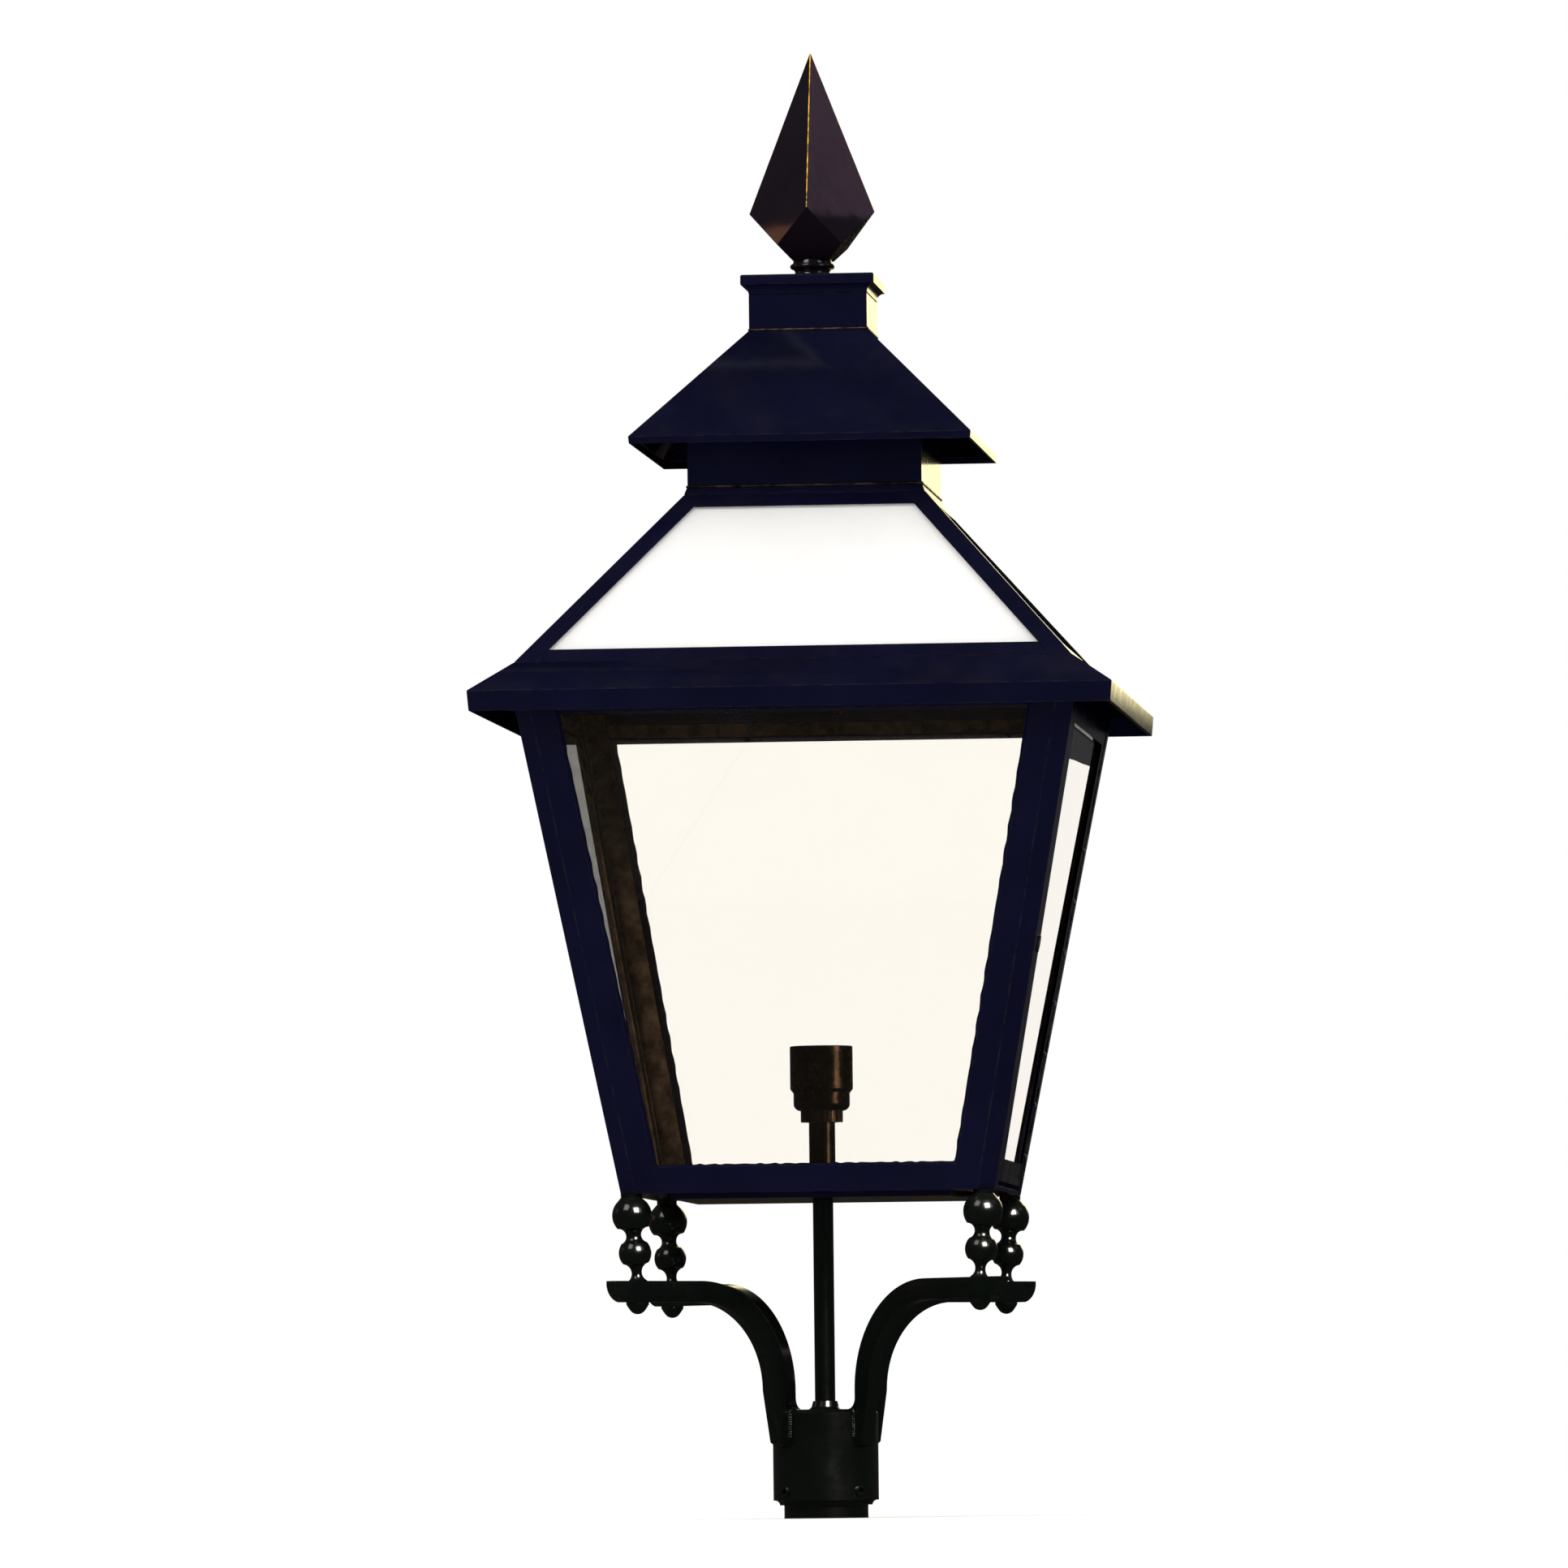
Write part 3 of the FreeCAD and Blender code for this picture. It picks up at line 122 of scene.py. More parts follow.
def per_metre(size_mm):
    """Texture scale that repeats a pattern of this real size."""
    return 1000 / size_mm


# ---- what a user would change ----
class LanternSizes(bpy.types.PropertyGroup):
    """Sizes of the finer details."""
    sheet_edge: bpy.props.FloatProperty(
        name="Sheet edge", description="Rounding that paint leaves on a folded edge",
        default=0.6 * MM, unit="LENGTH", subtype="DISTANCE")
    bar_edge: bpy.props.FloatProperty(
        name="Bar edge", description="Rounding along the bars of the frog",
        default=1.4 * MM, unit="LENGTH", subtype="DISTANCE")
    spear_edge: bpy.props.FloatProperty(
        name="Spear edge", description="Rounding between the facets of the spear",
        default=3.0 * MM, unit="LENGTH", subtype="DISTANCE")
    cove: bpy.props.FloatProperty(
        name="Cove", description="Hollow fillet between a bar of the frog and its socket",
        default=8.0 * MM, unit="LENGTH", subtype="DISTANCE")
    weld: bpy.props.FloatProperty(
        name="Weld", description="Radius of the weld beads on the frog",
        default=1.5 * MM, unit="LENGTH", subtype="DISTANCE")
    seam: bpy.props.FloatProperty(
        name="Seam", description="Radius of the soldered seams",
        default=0.9 * MM, unit="LENGTH", subtype="DISTANCE")
    rivet: bpy.props.FloatProperty(
        name="Rivet", description="Radius of the hinge's rivet heads",
        default=2.2 * MM, unit="LENGTH", subtype="DISTANCE")
    putty: bpy.props.FloatProperty(
        name="Putty", description="Width of the putty that shows on a pane",
        default=2.0 * MM, unit="LENGTH", subtype="DISTANCE")
    strip_edge: bpy.props.FloatProperty(
        name="Strip edge", description="Rounding along beads and inner angles",
        default=0.4 * MM, unit="LENGTH", subtype="DISTANCE")


class LanternColours(bpy.types.PropertyGroup):
    """Colours of the finishes."""
    enamel: bpy.props.FloatVectorProperty(
        name="Enamel", description="Gloss navy paint on the sheet metal",
        default=linear("#090a20"), min=0, max=1, size=3, subtype="COLOR")
    frog: bpy.props.FloatVectorProperty(
        name="Frog paint", description="Gloss black paint on the iron castings",
        default=linear("#060b08"), min=0, max=1, size=3, subtype="COLOR")
    spear: bpy.props.FloatVectorProperty(
        name="Spear paint", description="Gloss paint on the cast spear",
        default=linear("#100b12"), min=0, max=1, size=3, subtype="COLOR")
    bronze: bpy.props.FloatVectorProperty(
        name="Antique bronze", description="Browned bronze of the beads and the lampholder",
        default=linear("#604c3d"), min=0, max=1, size=3, subtype="COLOR")
    glass: bpy.props.FloatVectorProperty(
        name="Clear glass", description="Tint of one clear pane",
        default=linear("#fffdf8"), min=0, max=1, size=3, subtype="COLOR")
    opal: bpy.props.FloatVectorProperty(
        name="Opal glass", description="Milk-white glass of the roof",
        default=linear("#ffffff"), min=0, max=1, size=3, subtype="COLOR")


# ---- materials ----
NOISE, RANGE, MATH = "ShaderNodeTexNoise", "ShaderNodeMapRange", "ShaderNodeMath"
MIX, BUMP, BOTH = "ShaderNodeMix", "ShaderNodeBump", "ShaderNodeMixShader"
PRINCIPLED, OUTPUT = "ShaderNodeBsdfPrincipled", "ShaderNodeOutputMaterial"


def add(tree, kind, inputs=None, out=0, **settings):
    """Adds a node with its settings, its inputs set or linked, and gives the output that is wanted."""
    node = tree.nodes.new(kind)
    for name, value in settings.items():
        setattr(node, name, value)
    for name, value in (inputs or {}).items():
        if isinstance(value, bpy.types.NodeSocket):
            tree.links.new(value, node.inputs[name])
        else:
            node.inputs[name].default_value = value
    return node.outputs[out] if len(node.outputs) else None


def new_material(name):
    """Empty material, its node tree and the object's own coordinates."""
    material = bpy.data.materials.new(name)
    material.use_nodes = True
    tree = material.node_tree
    tree.nodes.clear()
    return material, tree, add(tree, "ShaderNodeTexCoord", out="Object")


def settled_dust(tree, place, most):
    """Share of the surface that dust covers: thin, patchy, and only where it faces up."""
    normal = add(tree, "ShaderNodeNewGeometry", out="Normal")
    up = add(tree, "ShaderNodeSeparateXYZ", {0: normal}, out="Z")
    level = add(tree, RANGE, {"Value": up, "From Min": 0.15, "From Max": 1.0, "To Max": most})
    patches = add(tree, NOISE, {"Vector": place, "Scale": per_metre(38), "Detail": 5.0, "Roughness": 0.6})
    patches = add(tree, RANGE, {"Value": patches, "From Min": 0.42, "From Max": 0.72, "To Min": 0.1})
    return add(tree, MATH, {0: level, 1: patches}, operation="MULTIPLY")


def worn_and_highlight_edges(tree, place, most):
    """Share of the finish that has worn thin, in broken stretches along the rounded edges only; on the spear
    the same share is a gold line that is partly gilding and partly a painted highlight.
    """
    edge = add(tree, "ShaderNodeAttribute", out="Fac", attribute_name="rubbed_edge")
    broken = add(tree, NOISE, {"Vector": place, "Scale": per_metre(9), "Detail": 4.0, "Roughness": 0.65})
    broken = add(tree, RANGE, {"Value": broken, "From Min": 0.4, "From Max": 0.62, "To Max": most})
    return add(tree, MATH, {0: edge, 1: broken}, operation="MULTIPLY")


def painted(name, paint, under, gloss, peel, lumps, worn, dust_most, level):
    """Gloss paint over metal, with dust on top and rubbed edges.

    under is what shows where the paint has worn, by a share of worn at most; on the spear it is a
    gold that is partly gilding and partly a painted highlight along the upper edges. gloss is the
    lowest roughness and level the strength of the mirroring. peel and lumps are (size mm, depth mm):
    the paint's orange peel and the metal's own waviness.
    """
    material, tree, place = new_material(name)
    dust = settled_dust(tree, place, dust_most)
    shades = add(tree, NOISE, {"Vector": place, "Scale": per_metre(55), "Detail": 3.0})
    shades = add(tree, RANGE, {"Value": shades, "From Min": 0.3, "From Max": 0.7})
    colour = add(tree, MIX, {0: shades, 6: (*(c * 0.72 for c in paint), 1), 7: (*paint, 1)},
                 out=2, data_type="RGBA")
    colour = add(tree, MIX, {0: worn_and_highlight_edges(tree, place, worn), 6: colour, 7: (*linear(under), 1)},
                 out=2, data_type="RGBA")
    colour = add(tree, MIX, {0: dust, 6: colour, 7: (*linear("#8f897c"), 1)}, out=2, data_type="RGBA")
    smears = add(tree, NOISE, {"Vector": place, "Scale": per_metre(24), "Detail": 6.0, "Roughness": 0.7})
    smears = add(tree, RANGE, {"Value": smears, "From Min": 0.35, "From Max": 0.75,
                               "To Min": gloss, "To Max": gloss + 0.12})
    rough = add(tree, MATH, {0: dust, 1: 0.6, 2: smears}, operation="MULTIPLY_ADD")
    waves = add(tree, NOISE, {"Vector": place, "Scale": per_metre(lumps[0])})
    waves = add(tree, BUMP, {"Height": waves, "Distance": lumps[1] * MM})
    peeled = add(tree, NOISE, {"Vector": place, "Scale": per_metre(peel[0])})
    peeled = add(tree, BUMP, {"Height": peeled, "Distance": peel[1] * MM, "Normal": waves})
    shader = add(tree, PRINCIPLED, {
        "Base Color": colour, "Roughness": rough, "Normal": peeled, "IOR": 1.5, "Specular IOR Level": level})
    add(tree, OUTPUT, {"Surface": shader})
    return material


def gloss_enamel_on_sheet_steel(colours):
    """Brushed and flowed enamel: deep, nearly black, with a soft peel and slightly wavy reflections."""
    # A bump of 3 mm stands for the real peel of 1 to 2 mm, which is too fine to show.
    return painted("gloss_enamel_on_sheet_steel", tuple(colours.enamel), "#2a2623", 0.14,
                   (3.0, 0.012), (90, 0.12), 0.3, 0.015, 0.16)


def gloss_paint_on_cast_iron(colours):
    """Thick black gloss over sand-cast iron: small sharp highlights on a grainy skin."""
    # The casting's 1 mm grain is drawn at 2.2 mm so that it shows.
    return painted("gloss_paint_on_cast_iron", tuple(colours.frog), "#1c1d18", 0.12,
                   (2.2, 0.01), (18, 0.06), 0.3, 0.05, 0.4)


def gloss_paint_on_cast_spear(colours):
    """Gloss black with a plum cast over gilding: mirror-like, wavy facets and gold in broken lines along the
    upper edges, which is partly gilding and partly a painted highlight.
    """
    # The gold under the paint shows fully on the marked upper edges: gilding that also stands in for the
    # highlight along them, a painted highlight.
    return painted("gloss_paint_on_cast_spear", tuple(colours.spear), "#ffc01c", 0.1,
                   (4.0, 0.015), (26, 0.35), 1.0, 0.04, 0.5)


def browned_bronze(name, bright, dark, rough):
    """Bronze under an uneven brown patina, brighter where its edges are handled."""
    material, tree, place = new_material(name)
    patina = add(tree, NOISE, {"Vector": place, "Scale": per_metre(14), "Detail": 6.0, "Roughness": 0.62})
    patina = add(tree, RANGE, {"Value": patina, "From Min": 0.36, "From Max": 0.64})
    fine = add(tree, NOISE, {"Vector": place, "Scale": per_metre(2.5), "Detail": 4.0, "Roughness": 0.6})
    colour = add(tree, MIX, {0: patina, 6: (*dark, 1), 7: (*bright, 1)}, out=2, data_type="RGBA")
    colour = add(tree, MIX, {0: worn_and_highlight_edges(tree, place, 0.5), 6: colour, 7: (*linear("#8a6a40"), 1)},
                 out=2, data_type="RGBA")
    grain = add(tree, RANGE, {"Value": fine, "From Min": 0.3, "From Max": 0.7, "To Min": rough,
                              "To Max": rough + 0.18})
    shader = add(tree, PRINCIPLED, {
        "Base Color": colour, "Metallic": 1.0,
        "Roughness": add(tree, MATH, {0: patina, 1: 0.08, 2: grain}, operation="MULTIPLY_ADD"),
        "Normal": add(tree, BUMP, {"Height": fine, "Distance": 0.02 * MM})})
    add(tree, OUTPUT, {"Surface": shader})
    return material


def antique_bronze(colours):
    """Chemically browned bronze of the inner strips: warm metal through an uneven dark patina."""
    bright = tuple(colours.bronze)
    return browned_bronze("antique_bronze_patinated", bright, tuple(c * 0.28 for c in bright), 0.24)


def oil_rubbed_bronze(colours):
    """Oil-rubbed bronze of the lampholder: the same metal taken nearly to black, with crisp highlights."""
    bright = tuple(c * 0.14 for c in colours.bronze)
    return browned_bronze("oil_rubbed_bronze", bright, tuple(c * 0.5 for c in bright), 0.1)


def clear_float_glass(colours):
    """Float glass, flat and polished: nearly invisible, with a faint warm film of dust."""
    material, tree, place = new_material("clear_float_glass")
    film = add(tree, NOISE, {"Vector": place, "Scale": per_metre(90), "Detail": 5.0, "Roughness": 0.6})
    film = add(tree, RANGE, {"Value": film, "From Min": 0.45, "From Max": 0.8,
                             "To Min": 0.001, "To Max": 0.008})
    draw = add(tree, NOISE, {"Vector": place, "Scale": per_metre(160), "Detail": 1.0})
    glass = add(tree, PRINCIPLED, {
        "Base Color": (*colours.glass, 1), "Roughness": 0.0, "IOR": 1.52, "Transmission Weight": 1.0,
        "Specular IOR Level": 0.1, "Normal": add(tree, BUMP, {"Height": draw, "Distance": 0.06 * MM})})
    haze = add(tree, "ShaderNodeBsdfTranslucent", {"Color": (*linear("#f6efe2"), 1)})
    pane = add(tree, BOTH, {0: film, 1: glass, 2: haze})
    # Lamps shine through the pane, as they do through real glass.
    shadow = add(tree, "ShaderNodeLightPath", out="Is Shadow Ray")
    clear = add(tree, "ShaderNodeBsdfTransparent", {"Color": (*colours.glass, 1)})
    add(tree, OUTPUT, {"Surface": add(tree, BOTH, {0: shadow, 1: pane, 2: clear})})
    return material


def opal_flashed_glass(colours):
    """Opal glass: milk white, glossy outside, and lit from both sides."""
    material, tree, place = new_material("opal_flashed_glass")
    cloud = add(tree, NOISE, {"Vector": place, "Scale": per_metre(120), "Detail": 3.0})
    cloud = add(tree, RANGE, {"Value": cloud, "From Min": 0.3, "From Max": 0.7})
    white = tuple(colours.opal)
    colour = add(tree, MIX, {0: cloud, 6: (*(c * 0.97 for c in white), 1), 7: (*white, 1)},
                 out=2, data_type="RGBA")
    dust = settled_dust(tree, place, 0.07)
    colour = add(tree, MIX, {0: dust, 6: colour, 7: (*linear("#b7a98f"), 1)}, out=2, data_type="RGBA")
    rough = add(tree, RANGE, {"Value": dust, "From Max": 0.07, "To Min": 0.05, "To Max": 0.2})
    draw = add(tree, NOISE, {"Vector": place, "Scale": per_metre(150), "Detail": 1.0})
    face = add(tree, PRINCIPLED, {
        "Base Color": colour, "Roughness": rough, "IOR": 1.52,
        "Normal": add(tree, BUMP, {"Height": draw, "Distance": 0.1 * MM})})
    through = add(tree, "ShaderNodeBsdfTranslucent", {"Color": colour})
    add(tree, OUTPUT, {"Surface": add(tree, BOTH, {0: 0.45, 1: face, 2: through})})
    return material


def metal(name, bright, dull, rough, grain_mm, depth_mm):
    """Bare or plated metal with a fine grain and duller patches."""
    material, tree, place = new_material(name)
    grain = add(tree, NOISE, {"Vector": place, "Scale": per_metre(grain_mm), "Detail": 4.0, "Roughness": 0.6})
    patch = add(tree, NOISE, {"Vector": place, "Scale": per_metre(11), "Detail": 4.0})
    patch = add(tree, RANGE, {"Value": patch, "From Min": 0.4, "From Max": 0.65})
    shader = add(tree, PRINCIPLED, {
        "Base Color": add(tree, MIX, {0: patch, 6: (*linear(bright), 1), 7: (*linear(dull), 1)},
                          out=2, data_type="RGBA"),
        "Metallic": 1.0,
        "Roughness": add(tree, RANGE, {"Value": grain, "From Min": 0.3, "From Max": 0.7,
                                       "To Min": rough, "To Max": rough + 0.15}),
        "Normal": add(tree, BUMP, {"Height": grain, "Distance": depth_mm * MM})})
    add(tree, OUTPUT, {"Surface": shader})
    return material


def blackened_steel():
    """Oil-blackened rolled steel of the hinge: grey-black with worn, shiny crowns."""
    return metal("blackened_rolled_steel", "#9a9ea4", "#3a3c3f", 0.28, 2.0, 0.03)


def zinc_plated_steel():
    """Bright zinc plate on turned steel: pale grey with a slight yellow pass."""
    return metal("zinc_plated_steel", "#b9b9b2", "#8f8d80", 0.25, 1.5, 0.015)


def turned_brass():
    """Turned brass of the contacts: yellow, nearly clean."""
    return metal("turned_brass", "#d6b25e", "#a8843c", 0.2, 1.2, 0.01)


def soft_solder():
    """Tinned seam under thin paint: a dull, uneven, lighter line."""
    return metal("soft_solder_fillet", "#8c7a64", "#4a3c30", 0.35, 3.0, 0.05)


def glazed_porcelain():
    """Electrical porcelain: white body under a clear, slightly pooled glaze."""
    material, tree, place = new_material("glazed_electrical_porcelain")
    cloud = add(tree, NOISE, {"Vector": place, "Scale": per_metre(6), "Detail": 3.0})
    cloud = add(tree, RANGE, {"Value": cloud, "From Min": 0.3, "From Max": 0.7})
    pooled = add(tree, NOISE, {"Vector": place, "Scale": per_metre(5)})
    shader = add(tree, PRINCIPLED, {
        "Base Color": add(tree, MIX, {0: cloud, 6: (*linear("#e9e4d8"), 1), 7: (*linear("#f5f2ea"), 1)},
                          out=2, data_type="RGBA"),
        "Roughness": add(tree, RANGE, {"Value": cloud, "To Min": 0.08, "To Max": 0.16}), "IOR": 1.55,
        "Normal": add(tree, BUMP, {"Height": pooled, "Distance": 0.04 * MM})})
    add(tree, OUTPUT, {"Surface": shader})
    return material


def floor_paper():
    """Matt pale paper of the studio floor, with a very slight mottle."""
    material, tree, place = new_material("matt_studio_paper")
    mottle = add(tree, NOISE, {"Vector": place, "Scale": per_metre(400), "Detail": 3.0})
    mottle = add(tree, RANGE, {"Value": mottle, "From Min": 0.3, "From Max": 0.7})
    paper = add(tree, PRINCIPLED, {
        "Base Color": add(tree, MIX, {0: mottle, 6: (*linear("#fafaf8"), 1), 7: (*linear("#fdfdfb"), 1)},
                          out=2, data_type="RGBA"),
        "Roughness": 0.85, "Specular IOR Level": 0.2})
    # Gloss paint mirrors a darker floor, as it would over a real pavement; panes show it as it is.
    paving = add(tree, "ShaderNodeBsdfDiffuse", {"Color": (*linear("#5c564e"), 1)})
    mirrored = add(tree, "ShaderNodeLightPath", out="Glossy Depth")
    mirrored = add(tree, MATH, {0: mirrored, 1: 1.0}, operation="MINIMUM")
    add(tree, OUTPUT, {"Surface": add(tree, BOTH, {0: mirrored, 1: paper, 2: paving})})
    return material


FINISHES = {}


# ---- geometry helpers ----
SAME_POINT = 0.002 * MM
FLAT = math.radians(1.0)    # faces that turn less than this are one face
EDGE = math.radians(24)     # an edge that turns more than this is rounded
CREASE = math.radians(50)   # shading breaks at a turn of more than this


def settle(name, mesh, slot, body):
    """Object with a slot's finish that rides on a body."""
    piece = bpy.data.objects.new(name, mesh)
    bpy.context.scene.collection.objects.link(piece)
    mesh.materials.clear()
    mesh.materials.append(FINISHES[slot])
    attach(piece, body)
    return piece


def rounded_copy(node, edge, body, wear_and_highlight_from=-1.0):
    """The node's own shape with its sharp edges rounded, in place of the node; the rounded edges above a
    height are marked for wear, and on the spear for a gold line that is partly a painted highlight.
    """
    bm = bmesh.new()
    bm.from_mesh(frame["nodes"][node].data)
    bmesh.ops.remove_doubles(bm, verts=bm.verts, dist=SAME_POINT)
    bmesh.ops.dissolve_limit(bm, angle_limit=FLAT, verts=bm.verts, edges=bm.edges)
    sharp = [e for e in bm.edges if len(e.link_faces) == 2 and e.calc_face_angle(0) > EDGE]
    layer = bm.faces.layers.float.new("rubbed_edge")
    made = bmesh.ops.bevel(bm, geom=sharp, offset=edge, offset_type="OFFSET", segments=2, profile=0.5,
                           affect="EDGES", clamp_overlap=True)
    # Marks the rounded edges for wear; on the spear the marked upper edges carry gold that is partly a
    # painted highlight.
    for face in made["faces"]:
        face[layer] = float(face.calc_center_median().z > wear_and_highlight_from)
    for face in bm.faces:
        face.smooth = True
    mesh = bpy.data.meshes.new("rounded_" + node)
    bm.to_mesh(mesh)
    bm.free()
    mesh.set_sharp_from_angle(angle=CREASE)
    piece = settle("rounded_" + node, mesh, NODE_SLOTS[node], body)
    flat = piece.modifiers.new("flat faces", "WEIGHTED_NORMAL")
    flat.keep_sharp = True
    flat.weight = 100
    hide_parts(node)
    return piece


def wall_half(z):
    """Half width of the body's leaning walls at a height, from the boxes of two pieces."""
    low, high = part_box("base_rail_right")[1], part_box("corner_post_back_right")[1]
    return low[0] + (high[0] - low[0]) * (z - low[2]) / (high[2] - low[2])


def skin(bm, rings, looped=False):
    """Closed skin over rings of as many points each; a looped one joins its last ring to its first."""
    made = [[bm.verts.new(point) for point in ring] for ring in rings]
    count = len(made[0])
    pairs = list(zip(made, made[1:])) + ([(made[-1], made[0])] if looped else [])
    for here, there in pairs:
        for i in range(count):
            bm.faces.new((here[i], here[(i + 1) % count], there[(i + 1) % count], there[i]))
    if not looped:
        bm.faces.new(made[0][::-1])
        bm.faces.new(made[-1])


def quarter_turns(rings):
    """The same rings at each of the four sides."""
    return [[[Matrix.Rotation(turn * math.pi / 2, 4, "Z") @ point for point in ring] for ring in rings]
            for turn in range(4)]


def dome(bm, centre, out, radius, height):
    """Low rivet head on a face that points outwards."""
    out = out.normalized()
    across = out.orthogonal().normalized()
    round_way = out.cross(across)
    rings = []
    for share in (0.0, 0.35, 0.6, 0.8, 0.95):
        reach = radius * math.sqrt(1 - share ** 2)
        rings.append([centre + out * (height * share - BITE)
                      + (across * math.cos(a) + round_way * math.sin(a)) * reach
                      for a in (i * math.pi / 6 for i in range(12))])
    skin(bm, rings)


def finished(name, bm, slot, body, finish=None):
    """Object from a bmesh, smooth across its gentle turns, in its slot's finish or another."""
    bmesh.ops.recalc_face_normals(bm, faces=bm.faces)
    for face in bm.faces:
        face.smooth = True
    mesh = bpy.data.meshes.new(name)
    bm.to_mesh(mesh)
    bm.free()
    mesh.set_sharp_from_angle(angle=CREASE)
    piece = settle(name, mesh, slot, body)
    if finish is not None:
        mesh.materials[0] = finish
    return piece


def read_slots():
    """Slot of every node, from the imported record."""
    record = frame["record"]
    return {part["node"]: part.get("material_slot", part["node"]) for part in record["subparts"]}


NODE_SLOTS = read_slots()


# ---- one operator for each group of pieces ----
class LANTERN_OT_finishes(bpy.types.Operator):
    """Makes every finish and gives it to the nodes that take it"""
    bl_idname = "lantern.finishes"
    bl_label = "Finishes"

    def execute(self, context):
        colours = context.scene.lantern_colours
        FINISHES.update({
            "navy_enamel": gloss_enamel_on_sheet_steel(colours),
            "frog_black": gloss_paint_on_cast_iron(colours),
            "spear_enamel": gloss_paint_on_cast_spear(colours),
            "bronze": antique_bronze(colours),
            "clear_glass": clear_float_glass(colours),
            "opal_glass": opal_flashed_glass(colours),
            "hinge_steel": blackened_steel(),
            "plated_steel": zinc_plated_steel(),
            "porcelain": glazed_porcelain(),
            "contact_brass": turned_brass()})
        dark_bronze = oil_rubbed_bronze(colours)
        for node, slot in NODE_SLOTS.items():
            for holder in frame["nodes"][node].material_slots:
                holder.material = dark_bronze if node in LAMPHOLDER else FINISHES[slot]
        return {"FINISHED"}


class LANTERN_OT_sheet_metal(bpy.types.Operator):
    """Rounds the painted edges of the sheet metal of the body, roof, chimney and hood"""
    bl_idname = "lantern.sheet_metal"
    bl_label = "Sheet metal"

    def execute(self, context):
        for node in SHEET_METAL:
            rounded_copy(node, context.scene.lantern_sizes.sheet_edge, "lantern")
        return {"FINISHED"}


class LANTERN_OT_door(bpy.types.Operator):
    """Rounds the door's frame and its beads"""
    bl_idname = "lantern.door"
    bl_label = "Door"

    def execute(self, context):
        sizes = context.scene.lantern_sizes
        for node in DOOR_METAL:
            rounded_copy(node, sizes.sheet_edge, "door")
        for node in DOOR_BRONZE:
            rounded_copy(node, sizes.strip_edge, "door")
        return {"FINISHED"}


class LANTERN_OT_frog(bpy.types.Operator):
    """Rounds the bars and the socket of the frog"""
    bl_idname = "lantern.frog"
    bl_label = "Frog"

    def execute(self, context):
        for node in CASTINGS:
            rounded_copy(node, context.scene.lantern_sizes.bar_edge, "lantern")
        return {"FINISHED"}


class LANTERN_OT_cast_fillets(bpy.types.Operator):
    """Adds the hollow fillets and the weld beads where the frog's bars meet its socket"""
    bl_idname = "lantern.cast_fillets"
    bl_label = "Frog fillets and welds"

    def execute(self, context):
        sizes = context.scene.lantern_sizes
        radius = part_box("spigot_sleeve")[1][0] + SOCKET_WALL
        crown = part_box("post_socket")[1][2] - BOSS
        corner = Matrix.Rotation(math.pi / 4, 4, "Z")

        # A quarter-round hollow between the bar's inner face and the socket's crown.
        cove, steps = sizes.cove, 8
        profile = [(radius + 2 * MM, crown - MM), (radius + 2 * MM, crown + cove)]
        for i in range(steps + 1):
            turn = i / steps * math.pi / 2
            profile.append((radius + MM - cove * (1 - math.cos(turn)), crown + cove - cove * math.sin(turn)))
        profile.append((radius + MM - cove, crown - MM))
        bm = bmesh.new()
        rings = [[corner @ Vector((r, y, z)) for r, z in profile] for y in (-BAR / 2, BAR / 2)]
        for turned in quarter_turns(rings):
            skin(bm, turned)
        finished("frog_fillets", bm, "frog_black", "lantern")

        # A rippled bead down each side of every bar's foot, thinner at its ends.
        bm = bmesh.new()
        count = 44
        for side in (-1, 1):
            rings = []
            for i in range(count + 1):
                share = i / count
                ripple = 1 + 0.16 * math.sin(i * 1.9) + 0.07 * math.sin(i * 0.7 + side)
                fade = min(1, 6 * share + 0.25, 6 * (1 - share) + 0.25)
                reach = sizes.weld * ripple * fade
                y = side * (BAR / 2 + 0.25 * sizes.weld)
                r = math.sqrt(radius ** 2 - y ** 2) + BITE
                z = crown - (crown - BAR_FOOT) * share
                rings.append([corner @ Vector((r + reach * math.cos(a), y + reach * math.sin(a), z))
                              for a in (k * math.pi / 4 for k in range(8))])
            for turned in quarter_turns(rings):
                skin(bm, turned)
        finished("frog_welds", bm, "frog_black", "lantern")
        return {"FINISHED"}


class LANTERN_OT_seams(bpy.types.Operator):
    """Runs the soldered seams round the feet of the chimneys"""
    bl_idname = "lantern.seams"
    bl_label = "Soldered seams"

    def execute(self, context):
        sizes = context.scene.lantern_sizes
        solder = soft_solder()
        lift, steps = 0.4 * MM, 26
        for name, node, thick in (("upper_seam", "upper_chimney", 1.0), ("lower_seam", "lower_chimney", 1.2)):
            low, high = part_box(node)
            half = high[0]
            bm = bmesh.new()
            rings = []
            for side in range(4):
                for i in range(steps):
                    along = -half + 2 * half * i / steps
                    wave = 1 + 0.22 * math.sin(2.3 * i + side) + 0.12 * math.sin(5.1 * i + 2 * side)
                    reach = sizes.seam * thick * wave
                    slant = Vector((-1, -1, 0)) if i == 0 else Vector((0, -1, 0))
                    centre = Vector((along, -half, low[2] + lift))
                    ring = [centre + slant * (reach * math.cos(a)) + Vector((0, 0, reach * math.sin(a)))
                            for a in (k * math.pi / 4 for k in range(8))]
                    turn = Matrix.Rotation(side * math.pi / 2, 4, "Z")
                    rings.append([turn @ point for point in ring])
            skin(bm, rings, looped=True)
            finished(name, bm, "navy_enamel", "lantern", finish=solder)
        return {"FINISHED"}


